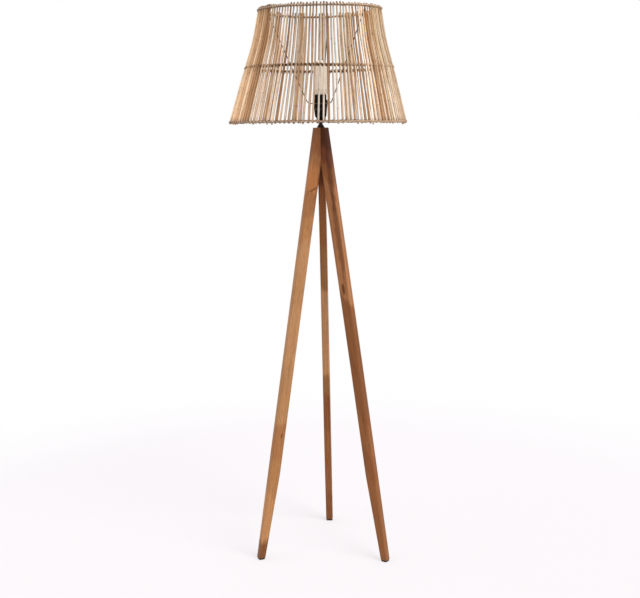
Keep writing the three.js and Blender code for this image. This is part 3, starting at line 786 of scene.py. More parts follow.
FINISHES = {
    "rattan": StickFinish(),
    # The fifth number of each cane is how much paler its painted light makes it at the shade's right side.
    "lacing": CaneFinish("lacing_cane", srgb(184, 146, 108), srgb(110, 80, 52), 0.012, 0.5),
    "rim_lacing": CaneFinish("rim_lacing_cane", srgb(156, 122, 96), srgb(102, 78, 60), 0.01, 0.5),
    "strip": CaneFinish("strip_cane", srgb(218, 196, 174), srgb(180, 156, 134), 0.04, 0.5),
    # The inner hoop rods are drawn dark brown, partly their own tone and partly painted shade for the gaps
    # between the sticks.
    "hoop": CaneFinish("hoop_rod", srgb(142, 108, 76), srgb(84, 58, 38), 0.05, 0.7),
    "rim_hoop": CaneFinish("rim_hoop_rod", srgb(204, 172, 140), srgb(134, 100, 72), 0.04, 0.4),
    "bakelite": MouldedFinish("black_bakelite", srgb(15, 8, 4), 0.5, shine=0.07),
    "black_steel": MouldedFinish("black_steel", srgb(24, 17, 16), 0.5, cloud=0.2, shine=0.1),
    "wire": MouldedFinish("brown_wire", srgb(104, 86, 68), 0.5, cloud=0.2, shine=0.2),
    "tube": MouldedFinish("dark_zinc", srgb(66, 52, 38), 0.5, cloud=0.2, shine=0.2),
    "zinc": MouldedFinish("zinc_plate", srgb(196, 194, 188), 0.32, metal=True),
    "brass": MouldedFinish("brass", srgb(212, 172, 92), 0.28, metal=True, cloud=0.18),
    "ceramic": MouldedFinish("white_ceramic", srgb(232, 228, 218), 0.45, cloud=0.03),
    # Painted glow: the bulb's collar and globe give off a faint light of their own, which brightens them
    # inside the shade.
    "plastic": MouldedFinish("white_plastic", srgb(230, 214, 196), 0.38, cloud=0.02, glow=0.04),
    "opal": MouldedFinish("opal_plastic", srgb(244, 230, 212), 0.28, cloud=0.02, glow=0.06),
    "rubber": MouldedFinish("black_rubber", srgb(40, 30, 24), 0.75, cloud=0.2, grain=0.05),
}


# Pieces


def into_scene(name: str, data: bpy.types.ID) -> bpy.types.Object:
    """Put a mesh, a light or a camera in the scene, and return its object."""
    thing = bpy.data.objects.new(name, data)
    bpy.context.scene.collection.objects.link(thing)
    return thing


def add_piece(
    name: str,
    surface: Surface,
    body: Body,
    material: Material,
    replaces: Sequence[str] = (),
    sharp: float = 32.0,
) -> None:
    """Put a finished skin into the scene as a piece of the lamp.

    Args:
        name: The piece's name.
        surface: Its skin, in the lamp's own place.
        body: What it moves with.
        material: Its finish.
        replaces: The CAD nodes that it stands for.
        sharp: Edges that bend more than this are drawn sharp, in degrees.
    """
    mesh = bpy.data.meshes.new(name)
    polygons = [row for block in surface.faces for row in block.tolist()]
    mesh.from_pydata(surface.points.tolist(), [], polygons)
    skin = mesh.uv_layers.new(name="skin")
    flat = np.concatenate([np.asarray(block, float).reshape(-1) for block in surface.uvs])
    skin.data.foreach_set("uv", flat.astype(np.float32))
    for label, values in surface.values.items():
        colours = values.ndim == 2
        attribute = mesh.attributes.new(label, "FLOAT_COLOR" if colours else "FLOAT", "POINT")
        attribute.data.foreach_set("color" if colours else "value", values.astype(np.float32).ravel())
    mesh.polygons.foreach_set("use_smooth", np.ones(len(polygons), bool))
    mesh.set_sharp_from_angle(angle=math.radians(sharp))
    mesh.materials.append(material)
    mesh.update()
    piece = into_scene(name, mesh)
    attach(piece, body.value)
    if replaces:
        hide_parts(*replaces)
    log.info("%s: %d faces on %s", name, len(polygons), body.value)


def dress_node(name: str, material: Material, edge: float = 0.25) -> None:
    """Give a small inner CAD node its finish and round its edges a little.

    Args:
        name: The node.
        material: Its finish.
        edge: Width of the rounding, in millimetres.
    """
    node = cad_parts[name]
    node.data.materials.clear()
    node.data.materials.append(material)
    weld = node.modifiers.new("weld", "WELD")
    weld.merge_threshold = 0.01 * MM
    bevel = node.modifiers.new("ease", "BEVEL")
    bevel.width = edge * MM
    bevel.segments = 2
    bevel.limit_method = "ANGLE"
    bevel.angle_limit = math.radians(35)
    log.info("%s: CAD node dressed", name)


def base_of(node: str) -> float:
    """Height of a CAD node's underside, in millimetres."""
    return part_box(node)[0].z / MM


def top_of(node: str) -> float:
    """Height of a CAD node's top, in millimetres."""
    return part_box(node)[1].z / MM


def reach_of(node: str) -> float:
    """How far a round CAD node reaches from the lamp's axis, in millimetres."""
    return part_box(node)[1].x / MM


def size_of(node: str) -> Triple:
    """Underside, top and reach of a round CAD node, in millimetres."""
    return base_of(node), top_of(node), reach_of(node)


def thread(pitch: float, depth: float, low: float, high: float, beyond: float = 0.0) -> Ripple:
    """Cut a right-hand screw thread into the outside of a turned piece, in millimetres.

    The radius falls by depth times (1 - cos p) / 2, where p turns once for each pitch of
    height and back once for each turn, and the cut fades out over one pitch at both ends.

    Args:
        pitch: Height of one turn.
        depth: Crest to root.
        low: Where the thread starts.
        high: Where it ends.
        beyond: It is cut only where the radius is more than this.

    Returns:
        A ripple for turned().
    """

    def ripple(angle: Array, radius: Array, height: Array) -> Array:
        """Give the cut at each point."""
        phase = TURN * height / (pitch * MM) - angle
        inside = np.clip(np.minimum(height - low * MM, high * MM - height) / (pitch * MM), 0, 1)
        return (radius > beyond * MM) * (-depth * MM * inside * (1 - np.cos(phase)) / 2)

    return ripple


def upright(radius: float, low: float, high: float, step: float) -> list[Corner]:
    """Give the many sharp corners of a straight wall that a thread is cut into, in millimetres."""
    return [(radius, float(z), 0.0) for z in np.linspace(low, high, round((high - low) / step) + 1)]


@dataclass
class Tripod:
    """Three mitred planks on edge, each on a rubber pad. Sizes in millimetres.

    Attributes:
        plain_span: Between which heights a leg has few sections, in plain_sections.
        mitre_start: Where the close sections start, one every mitre_step.
        ledge: Height over which the counterbore turns into the bore.
        bows: How far each plank has warped outwards at half its height.
    """

    finishes: Materials
    thickness: float = 19.4
    head_reach: float = 19.0
    head_width: float = 30.0
    knee_width: float = 29.4
    foot_width: float = 17.7
    knee_height: float = 240.0
    edge: float = 1.5
    end_edge: float = 0.8
    mitre_gap: float = 0.3
    plain_span: Pair = (60.0, 1050.0)
    plain_sections: int = 34
    mitre_start: float = 1060.0
    mitre_step: float = 4.0
    tube_bore: float = 5.4
    counterbore: float = 8.7
    counterbore_top: float = 1127.0
    ledge: float = 0.01
    pad_corner: float = 3.5
    pad_edge: float = 1.0
    pad_inset: float = 0.5
    pad_girth: float = 60.0
    bows: dict[str, float] = field(default_factory=lambda: {"left": 0.3, "right": 1.8, "rear": 0.0})

    def __post_init__(self) -> None:
        """Read the tripod's main sizes from the frame."""
        low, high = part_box("leg_rear")
        self.head, self.foot = high.z / MM, low.z / MM
        self.foot_reach = high.y / MM
        self.fall = (self.foot_reach - self.head_reach) / (self.head - self.foot)
        self.slope = math.atan(self.fall)

    def outer(self, height: Array) -> Array:
        """How far out the outer edge lies at a height."""
        return self.head_reach + (self.head - height) * self.fall

    def width(self, height: Array) -> Array:
        """Width of the plank at a height."""
        levels = [self.foot, self.knee_height, self.head]
        return np.interp(height, levels, [self.foot_width, self.knee_width, self.head_width])

    def section(self, inner: Array, outer: Array, ease: Array) -> tuple[Array, Array]:
        """Give a rounded oblong for every height.

        Four quarter circles, each centred one edge radius inside its corner, joined by straight
        sides. The inner side has many points, for the mitre and the bore.

        Args:
            inner: Nearest reach at each height.
            outer: Furthest reach at each height.
            ease: How much the oblong shrinks at each height.

        Returns:
            Reach and side offset, shaped heights by points, anticlockwise from above.
        """
        low = (inner + ease + self.edge)[:, None]
        high = (outer - ease - self.edge)[:, None]
        wide = (self.thickness / 2 - ease - self.edge)[:, None]
        quarter = np.linspace(0, math.pi / 2, 4)[None]
        flat = np.linspace(1, -1, 41)[None, 1:-1]
        reach, side = [], []
        for middle, half, start in ((high, -wide, -1), (high, wide, 0), (low, wide, 1), (low, -wide, 2)):
            if start == 2:
                reach.append(np.broadcast_to(low - self.edge, (len(inner), flat.shape[1])))
                side.append(flat * wide)
            angle = start * math.pi / 2 + quarter
            reach.append(middle + self.edge * np.cos(angle))
            side.append(half + self.edge * np.sin(angle))
        return np.concatenate(reach, axis=1), np.concatenate(side, axis=1)

    @staticmethod
    def stood(x: Array, y: Array, height: Array, azimuth: float, girth: float) -> Surface:
        """Stand a stack of level outlines at its azimuth a.

        A point goes to (x cos a - y sin a, x sin a + y cos a, z).

        Args:
            x: Reach, shaped heights by points.
            y: Side offset, shaped the same.
            height: Of each outline.
            azimuth: Where the stack stands, in degrees.
            girth: Length round its skin.

        Returns:
            The skin.
        """
        z = np.broadcast_to(height[:, None], x.shape)
        cos, sin = math.cos(math.radians(azimuth)), math.sin(math.radians(azimuth))
        grid = np.stack([x * cos - y * sin, x * sin + y * cos, z], axis=-1)
        around = np.linspace(0, girth * MM, x.shape[1] + 1)
        return tubes(grid[None] * MM, around, height[None] * MM)

    def leg(self, azimuth: float, bow: float) -> Surface:
        """Model a leg as a stack of level sections.

        The plank has warped outwards a little, by bow times sin(pi s) where s is the share of its
        height.

        Where a point of the section falls beyond the mitre planes or inside the bore, it moves
        outwards, to the further of them: x = max(x, apex + |y| cot 60, sqrt(R^2 - y^2)).

        Args:
            azimuth: Where the leg stands, in degrees.
            bow: How far its middle stands out.

        Returns:
            The skin.
        """
        e, seat = self.end_edge, self.counterbore_top
        ends = np.array([0.0, 0.1, 0.35, 1.0]) * e
        plain = np.linspace(*self.plain_span, self.plain_sections)
        mitre = np.arange(self.mitre_start, self.head - e, self.mitre_step)
        stack = [self.foot + ends, plain, mitre, [seat - self.ledge, seat], self.head - ends[::-1]]
        height = np.sort(np.concatenate(stack))
        near = np.minimum(height - self.foot, self.head - height)
        ease = e - np.sqrt(np.clip(e**2 - np.clip(e - near, 0, e) ** 2, 0, None))
        warp = np.sin(math.pi * np.clip((height - self.foot) / (self.head - self.foot), 0, 1))
        outer = self.outer(height) + bow * warp
        x, y = self.section(outer - self.width(height), outer, ease)
        apex = self.mitre_gap / 2 / math.sin(math.pi / 3)
        bore = np.where(height < seat, self.counterbore, self.tube_bore)[:, None]
        x = np.maximum(x, apex + np.abs(y) / math.tan(math.pi / 3) + ease[:, None])
        x = np.maximum(x, np.sqrt(np.clip(bore**2 - y**2, 0, None)))
        return self.stood(x, y, height, azimuth, 2 * (self.thickness + self.head_width))

    def pad(self, azimuth: float, node: str) -> Surface:
        """Model a foot pad: an oblong with round corners and eased edges above and below.

        Args:
            azimuth: Where it lies, in degrees.
            node: The CAD node that gives its heights.

        Returns:
            The skin.
        """
        low, high = base_of(node), top_of(node)
        edge = np.linspace(0, math.pi / 2, 4)
        rise, inset = np.sin(edge) * self.pad_edge, (1 - np.cos(edge)) * self.pad_edge
        height = np.concatenate([low + self.pad_edge - rise[::-1], high - self.pad_edge + rise])
        radius = self.pad_corner - np.concatenate([inset[::-1], inset])[:, None]
        quarter = np.linspace(0, math.pi / 2, 6)
        angle = np.concatenate([start * math.pi / 2 + quarter for start in (-1, 0, 1, 2)])[None]
        length, half = self.foot_width / 2 - self.pad_inset, self.thickness / 2 - self.pad_inset
        out = (length - self.pad_corner) * np.repeat([1, 1, -1, -1], len(quarter))
        across = (half - self.pad_corner) * np.repeat([-1, 1, 1, -1], len(quarter))
        x = self.outer(np.array(self.foot)) - self.foot_width / 2 + out + radius * np.cos(angle)
        return self.stood(x, across + radius * np.sin(angle), height, azimuth, self.pad_girth)

    def woods(self) -> dict[str, TeakFinish]:
        """Describe the wood of each leg, as its plank was cut."""
        straw, honey, sand = srgb(190, 139, 95), srgb(184, 133, 88), srgb(192, 136, 88)
        copper, tan, amber = srgb(192, 126, 75), srgb(180, 126, 79), srgb(170, 114, 70)
        oak, fawn, toffee = srgb(176, 119, 75), srgb(154, 106, 62), srgb(152, 96, 54)
        hazel, walnut, rust = srgb(151, 95, 56), srgb(143, 88, 48), srgb(134, 84, 48)
        cocoa, bark, umber = srgb(118, 64, 32), srgb(112, 64, 32), srgb(80, 36, 6)
        left = (
            (0, rust), (54, sand), (190, tan), (270, amber), (378, honey), (560, straw), (700, honey),
            (800, straw), (880, tan), (950, amber), (1019, copper), (1095, amber), (1122, hazel),
            (1160, rust),
        )
        right = (
            (0, toffee), (230, walnut), (300, toffee), (395, walnut), (715, oak), (1030, toffee),
            (1075, cocoa), (1118, umber),
        )
        rear = (
            (0, walnut), (110, toffee), (310, walnut), (410, fawn), (478, straw), (731, fawn),
            (850, toffee), (1040, bark),
        )
        spots = (
            Knot(348, -18, 9, 5, 16), Knot(590, -22, 9, 3, 30, 0.5), Knot(1020, -16, 9, 30, 6, 0.6, 35),
            Knot(1075, -31, 9, 13, 85, 0.4),
        )
        swirls = (
            Knot(752, -14, -9, 10, 34), Knot(380, -10, -9, 4, 60, 0.45), Knot(1040, -6, -10, 16, 190, 0.55),
            Knot(900, -6, -10, 16, 290, 0.55),
        )
        fleck = (Knot(440, -2, 4, 4, 20, 0.5),)
        return {
            "left": TeakFinish("teak_left", left, (0.034, 0.052), spots, seed=2.3),
            "right": TeakFinish("teak_right", right, (-0.075, -0.012), swirls, seed=7.9, slant=1.5),
            "rear": TeakFinish("teak_rear", rear, (0.05, -0.03), fleck, seed=13.1),
        }

    def build(self) -> None:
        """Make and dress the three legs and their pads."""
        woods = self.woods()
        head, reach, rubber = self.head * MM, self.head_reach * MM, self.finishes["rubber"]
        for side, azimuth in SIDES.items():
            wood = woods[side].material(math.radians(azimuth), self.slope, head, reach)
            leg, node = self.leg(azimuth, self.bows[side]), f"foot_pad_{side}"
            add_piece(f"teak_leg_{side}", leg, Body.STAND, wood, [f"leg_{side}"])
            pad = self.pad(azimuth, node)
            add_piece(f"rubber_pad_{side}", pad, Body.STAND, rubber, [node])


@dataclass
class Stem:
    """The threaded tube in the head and what clamps it. Sizes in millimetres.

    Attributes:
        grip: How far the tube reaches up into the holder's cap.
        slack: Between the tube and what it passes through or holds.
        cone_waist: Reach and height of the cone's narrowest place below its neck.
    """

    finishes: Materials
    tube_radius: float = 5.0
    tube_bore: float = 4.0
    thread_pitch: float = 1.0
    thread_depth: float = 0.45
    thread_step: float = 0.25
    plain_step: float = 20.0
    grip: float = 3.0
    edge: float = 0.3
    slack: float = 0.3
    cone_rim: float = 1.6
    cone_waist: Pair = (7.0, 6.0)
    cone_neck: float = 6.3
    nut_chamfer: float = 0.7
    nut_overhang: float = 1.2
    bush_bore: float = 3.1
    bush_lip: float = 1.6

    def __post_init__(self) -> None:
        """Work out the bore of what sits on the tube."""
        self.bore = self.tube_radius + self.slack

    def tube(self) -> Surface:
        """Model the tube, threaded where it shows and below the nut."""
        low, high = base_of("threaded_tube"), top_of("threaded_tube")
        cone, holder, nut = base_of("cone_nut"), base_of("holder_cap") + self.grip, top_of("head_nut")
        radius, bore, mouth = self.tube_radius, self.tube_bore, self.tube_radius - self.edge
        corners = [
            (bore, low, 0.2), (mouth, low, 0),
            *upright(radius, low + self.edge, nut, self.thread_step),
            *upright(radius, nut + 1, cone - 1, self.plain_step),
            *upright(radius, cone, holder, self.thread_step),
            (mouth, high, 0), (bore, high, 0.2),
        ]
        upper = thread(self.thread_pitch, self.thread_depth, cone, holder, (bore + mouth) / 2)
        lower = thread(self.thread_pitch, self.thread_depth, low, nut, (bore + mouth) / 2)
        return turned(corners, 32, upper, lower)

    def cone_nut(self) -> Surface:
        """Model the cone nut, with a rim below, a hollow flank and a rounded neck."""
        low, high, rim = size_of("cone_nut")
        reach, waist = self.cone_waist
        return turned([
            (self.bore, low, 0.2), (rim, low, 0.4), (rim, low + self.cone_rim, 0.6),
            (rim - 1.5, low + self.cone_rim + 1, 1.2), (reach, low + waist, 2.4),
            (self.cone_neck, high, 0.8), (self.bore, high, 0.3),
        ], 48)

    def washer(self) -> Surface:
        """Model the flat washer under the head."""
        low, high, reach = size_of("head_washer")
        corners = [(self.bore, low, 0.15), (reach, low, 0.3), (reach, high, 0.3), (self.bore, high, 0.15)]
        return turned(corners, 40)

    def nut(self) -> Surface:
        """Model the hexagon nut, with its corners chamfered above and below.

        The flats lie at f / cos(a), where f is half the width and a the angle from the
        middle of the nearest flat, and the chamfer is a cone that cuts the corners.
        """
        low, high = base_of("head_nut"), top_of("head_nut")
        flat, bore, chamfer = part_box("head_nut")[1].y / MM, self.bore, self.nut_chamfer
        face, corner = flat - 0.2, flat + self.nut_overhang
        corners = [
            (bore, low, 0.3), (face, low, 0), (corner, low + chamfer, 0),
            (corner, high - chamfer, 0), (face, high, 0), (bore, high, 0.3),
        ]

        def flats(angle: Array, radius: Array, height: Array) -> Array:
            """Cut off what lies beyond the flats."""
            limit = flat * MM / np.cos(angle % (math.pi / 3) - math.pi / 6)
            return np.minimum(radius, limit) - radius

        return turned(corners, 72, flats)

    def bush(self) -> Surface:
        """Model the rubber bush in the tube's lower end."""
        low, high, lip = size_of("cable_bush")
        spigot, shoulder = self.tube_bore - self.slack, low + self.bush_lip
        return turned([
            (self.bush_bore, low, 0.5), (lip, low, 0.6), (lip, shoulder, 0.3),
            (spigot, shoulder, 0.2), (spigot, high, 0.5), (self.bush_bore, high, 0.2),
        ], 32)

    def build(self) -> None:
        """Make and dress the tube and its fixings."""
        uses = ("tube", "zinc", "black_steel", "rubber")
        tube, zinc, black, rubber = (self.finishes[use] for use in uses)
        add_piece("stem_tube", self.tube(), Body.STAND, tube, ["threaded_tube"])
        add_piece("stem_cone", self.cone_nut(), Body.STAND, black, ["cone_nut"])
        add_piece("stem_washer", self.washer(), Body.STAND, zinc, ["head_washer"])
        add_piece("stem_nut", self.nut(), Body.STAND, zinc, ["head_nut"], 20)
        add_piece("stem_bush", self.bush(), Body.STAND, rubber, ["cable_bush"])


@dataclass
class Lampholder:
    """The black holder: cap, body, ring nut and what they hold. Sizes in millimetres.

    Attributes:
        hub_height: From the cap's lowest place to the start of the dome.
        neck_height: From the same place to the top of the neck inside.
        joint: Height of the body's rim below its groove.
        seat_gap: Between the body's flange and the fitter ring.
    """

    finishes: Materials
    cap_wall: float = 2.2
    cap_floor: float = 3.0
    cap_base: float = 15.2
    cap_lip: float = 1.7
    hub_height: float = 7.0
    hub_radius: float = 7.5
    neck_height: float = 17.0
    neck_radius: float = 9.0
    tube_hole: float = 5.3
    joint: float = 1.7
    seat_gap: float = 0.3
    flange_height: float = 3.4
    skirt_radius: float = 16.4
    skirt_bore: float = 14.4
    insert_ledge: float = 2.4
    insert_ledge_radius: float = 12.0
    skirt_pitch: float = 2.4
    skirt_thread_depth: float = 0.55
    skirt_step: float = 0.4
    ring_slack: float = 0.4
    ribs: int = 24
    rib_depth: float = 0.6
    shell_wall: float = 0.5
    shell_pitch: float = 3.6
    shell_depth: float = 0.22
    shell_step: float = 0.45

    def cap(self) -> Surface:
        """Model the cap: a dome with a neck for the tube, hollow inside, with a lip at its rim."""
        low, high, rim = size_of("holder_cap")
        base, wall, hole, neck = self.cap_base, self.cap_wall, self.tube_hole, self.neck_radius
        dome, hub, top = low + self.hub_height, self.hub_radius, low + self.neck_height
        floor, lip = dome + self.cap_floor, high - self.cap_lip
        return turned([
            (hole, low, 0.4), (hub - 0.3, low, 0.4), (hub, low + 1.6, 0.6), (base - 2.0, dome - 0.6, 2.6),
            (base + 0.4, dome + 4.0, 2.4), (rim - 0.5, lip - 0.5, 0.3), (rim - 0.5, lip - 0.2, 0.1),
            (rim, lip, 0.3), (rim, high, 0.3), (rim - wall, high, 0.3), (base - wall, floor, 1.5),
            (neck, floor, 0.5), (neck, top, 0.5), (hole, top, 0.4),
        ], 64)

    def body(self) -> Surface:
        """Model the body: a flared cup with a flange, and a threaded skirt for the ring nut."""
        low, high, flange = size_of("holder_body")
        seat, cup, joint = base_of("fitter_ring") - self.seat_gap, reach_of("holder_cap"), low + self.joint
        skirt, bore, ledge = self.skirt_radius, self.skirt_bore, self.insert_ledge_radius
        floor, edge = low + self.insert_ledge, seat - self.flange_height
        first, last = seat + 0.6, high - 0.8
        corners = [
            (ledge, low, 0.3), (cup, low, 0.4), (cup, joint, 0.2), (cup - 0.5, joint + 0.3, 0.1),
            (cup, joint + 0.6, 0.2), (flange - 0.3, edge - 1, 1.2), (flange, edge, 0.5),
            (flange, seat, 0.5), (skirt, seat, 0.3), *upright(skirt, first, last, self.skirt_step),
            (skirt - 0.6, high, 0.2), (bore, high, 0.4), (bore, floor, 0.3), (ledge, floor, 0.3),
        ]
        cut = thread(self.skirt_pitch, self.skirt_thread_depth, first, last, skirt - 0.05)
        return turned(corners, 72, cut)

    def ring_nut(self) -> Surface:
        """Model the ring nut, whose outside rises and falls once for each finger rib."""
        low, high, rim = size_of("shade_ring_nut")
        bore = self.skirt_radius + self.ring_slack
        corners = [
            (bore, low, 0.3), (rim, low, 0.7), (rim, low + 1.4, 0.3), (rim, high - 1.0, 0.3),
            (rim, high, 0.9), (bore, high, 0.3),
        ]

        def ribs(angle: Array, radius: Array, height: Array) -> Array:
            """Cut the grooves between the ribs."""
            share = np.clip((radius / MM - bore - 0.8) / 0.8, 0, 1)
            lip = np.clip((height / MM - low - 1.0) / 0.6, 0, 1)
            groove = (0.5 - 0.5 * np.cos(self.ribs * angle)) ** 2
            return -self.rib_depth * MM * share * lip * groove

        return turned(corners, self.ribs * 8, ribs)

    def contact_shell(self) -> Surface:
        """Model the thin brass shell, rolled to the lamp cap's thread inside and out."""
        low, high, outer = size_of("contact_shell")
        inner, step = outer - self.shell_wall, self.shell_step
        corners = [
            (inner, low, 0), *upright(outer, low, high, step), (inner, high, 0),
            *upright(inner, low + step, high - step, step)[::-1],
        ]
        cut = thread(self.shell_pitch, self.shell_depth, low + 1, high - 1)
        return turned(corners, 48, cut)

    def build(self) -> None:
        """Make and dress the holder's pieces."""
        black, zinc, brass = (self.finishes[use] for use in ("bakelite", "zinc", "brass"))
        add_piece("lampholder_cap", self.cap(), Body.STAND, black, ["holder_cap"])
        add_piece("lampholder_body", self.body(), Body.STAND, black, ["holder_body"])
        add_piece("lampholder_ring", self.ring_nut(), Body.RING_NUT, black, ["shade_ring_nut"])
        add_piece("lampholder_shell", self.contact_shell(), Body.STAND, brass, ["contact_shell"])
        dress_node("holder_insert", self.finishes["ceramic"], 0.4)
        dress_node("cap_grub_screw", zinc)
        dress_node("centre_contact", brass, 0.1)
        dress_node("terminal_screw_live", brass)
        dress_node("terminal_screw_neutral", brass)


@dataclass
class Bulb:
    """A slim opal bulb with a white collar and a screw cap. Sizes in millimetres.

    Attributes:
        core: Reach of the flat discs at both ends of a solid turned piece.
        groove: Depth of the fine groove under the collar's top edge.
    """

    finishes: Materials
    core: float = 0.3
    groove: float = 0.35
    groove_drop: float = 1.9
    globe_wall: float = 1.2
    cap_root: float = 12.3
    cap_pitch: float = 3.6
    cap_rim: float = 2.0
    cap_step: float = 0.45

    def collar(self) -> Surface:
        """Model the collar: narrow below, a soft shoulder, and a fine groove under its top edge."""
        low, high, reach = size_of("bulb_collar")
        groove = high - self.groove_drop
        return turned([
            (self.core, low, 0), (reach - 2.6, low, 0.8), (reach, low + 3.4, 2.2),
            (reach, groove - 0.3, 0.1), (reach - self.groove, groove, 0.1),
            (reach, groove + 0.3, 0.1), (reach, high, 0.4), (self.core, high, 0),
        ], 64, loop=False)

    def globe(self) -> Surface:
        """Model the globe: a thin tube with a round dome, open below over the board."""
        low, high, reach = size_of("bulb_globe")
        inner, level = reach - self.globe_wall, high - reach
        angle = np.linspace(0, math.pi / 2, 17)[:-1]
        outside = [(reach * math.cos(a), level + reach * math.sin(a), 0.0) for a in angle]
        inside = [(inner * math.cos(a), level + inner * math.sin(a), 0.0) for a in angle[::-1]]
        poles = [(self.core, high, 0), (self.core, high - self.globe_wall, 0)]
        return turned([(inner, low, 0.3), (reach, low, 0.4), *outside, *poles, *inside], 64)

    def screw_cap(self) -> Surface:
        """Model the metal cap, with a plain rim above and a rolled thread below."""
        low, high, reach = size_of("bulb_screw_cap")
        root, rim = self.cap_root, high - self.cap_rim
        wall = upright(reach, low + 0.6, rim, self.cap_step)
        corners = [(self.core, low, 0), (root, low, 0.4), *wall, (reach, high, 0.3), (self.core, high, 0)]
        cut = thread(self.cap_pitch, reach - root, low, rim, root + 0.2)
        return turned(corners, 56, cut, loop=False)

    def build(self) -> None:
        """Make and dress the bulb's pieces."""
        plastic, opal, zinc = (self.finishes[use] for use in ("plastic", "opal", "zinc"))
        add_piece("bulb_neck", self.collar(), Body.BULB, plastic, ["bulb_collar"])
        add_piece("bulb_glass", self.globe(), Body.BULB, opal, ["bulb_globe"])
        add_piece("bulb_thread", self.screw_cap(), Body.BULB, zinc, ["bulb_screw_cap"])
        dress_node("bulb_led_board", self.finishes["ceramic"], 0.3)
        dress_node("bulb_insulator", self.finishes["bakelite"], 0.3)
        dress_node("bulb_tip_contact", self.finishes["brass"], 0.3)


@dataclass
class ShadeShape:
    """The shade's form, which its sticks, hoops, lacing and wires share. Sizes in millimetres.

    Attributes:
        waist_height: Where the sticks turn in above the middle hoop.
        waist_reach: From the axis to a stick's middle there.
        softness: Half the height over which the sticks' bends are averaged.
        sway: How far the hand-made shade leans to the right at its lower end, middle and tips.
        rim_sag: How far the lower rim hangs at both sides, and further at the right than the left.
    """

    stick_radius: float = 2.6
    hoop_clearance: float = 0.3
    waist_height: float = 1415.0
    waist_reach: float = 174.0
    tip_reach: float = 158.5
    end_reach: float = 236.0
    softness: float = 22.0
    sway: Triple = (-7.6, -2.4, 0.6)
    rim_sag: Pair = (1.7, 0.9)

    def __post_init__(self) -> None:
        """Read the shade's heights from the frame."""
        self.low, self.high = base_of("stick_panel_01"), top_of("stick_panel_01")
        hoops = [f"{level}_inner_hoop" for level in ("bottom", "middle", "top")]
        self.hoops = [(base_of(hoop) + top_of(hoop)) / 2 for hoop in hoops]
        self.mid_reach = reach_of("middle_inner_hoop") + self.hoop_clearance + self.stick_radius

    def reach(self, height: Array) -> Array:
        """Give a stick's distance from the axis.

        The straight runs between the four known places are carried on past both ends, and
        averaged over the softness above and below, so that their corners turn softly.

        Args:
            height: Heights above the floor.

        Returns:
            The distances.
        """
        levels = np.array([self.low, self.hoops[1], self.waist_height, self.high])
        reaches = np.array([self.end_reach, self.mid_reach, self.waist_reach, self.tip_reach])
        slopes, beyond = np.diff(reaches) / np.diff(levels), 100.0
        reaches = np.array([reaches[0] - beyond * slopes[0], *reaches, reaches[3] + beyond * slopes[2]])
        levels = np.array([levels[0] - beyond, *levels, levels[3] + beyond])
        spread = np.linspace(-self.softness, self.softness, 9)
        return np.interp(np.asarray(height)[..., None] + spread, levels, reaches).mean(-1)

    def rim_rise(self, angle: Array) -> Array:
        """How far the lower rim stands above its level at an angle in radians."""
        sides, right = self.rim_sag
        return -sides * np.cos(angle) ** 2 - right * np.cos(angle)

    def lean(self, height: Array) -> Array:
        """How far the shade stands to the right of the axis at a height."""
        return np.interp(height, [self.low, self.hoops[1], self.high], self.sway)

    def place(self, angle: Array, reach: Array, height: Array) -> Array:
        """Turn angles in radians, reaches and heights in millimetres into places in metres."""
        x = reach * np.cos(angle) + self.lean(height)
        return np.stack([x, reach * np.sin(angle), np.broadcast_to(height, x.shape)], axis=-1) * MM


@dataclass(frozen=True)
class StickTone:
    """A tone that some of the sticks have.

    Attributes:
        colour: Its linear colour.
        share: How many of the sticks have it, against the other tones' shares.
        painted_side_bias: How many more have it at the shade's left side, against its right side; darker
            tones lean left and paler ones right, as painted light.
    """

    colour: Colour
    share: float
    painted_side_bias: float = 0.0


STICK_TONES = (
    StickTone(srgb(229, 206, 182), 30, -0.3),
    StickTone(srgb(217, 188, 160), 26, 0.2),
    StickTone(srgb(240, 223, 203), 18, -0.6),
    StickTone(srgb(208, 174, 142), 12, 0.8),
    StickTone(srgb(208, 168, 132), 6, 0.8),
    StickTone(srgb(206, 186, 154), 3, 0.3),
    StickTone(srgb(172, 136, 104), 6, 0.3),
)


@dataclass(frozen=True)
class Chance:
    """A number that differs from stick to stick: its average, how far it strays, and its limits."""

    middle: float
    spread: float
    low: float
    high: float

    def draw(self, rng: np.random.Generator, count: int) -> Array:
        """Draw it for a number of sticks."""
        return np.clip(rng.normal(self.middle, self.spread, count), self.low, self.high)


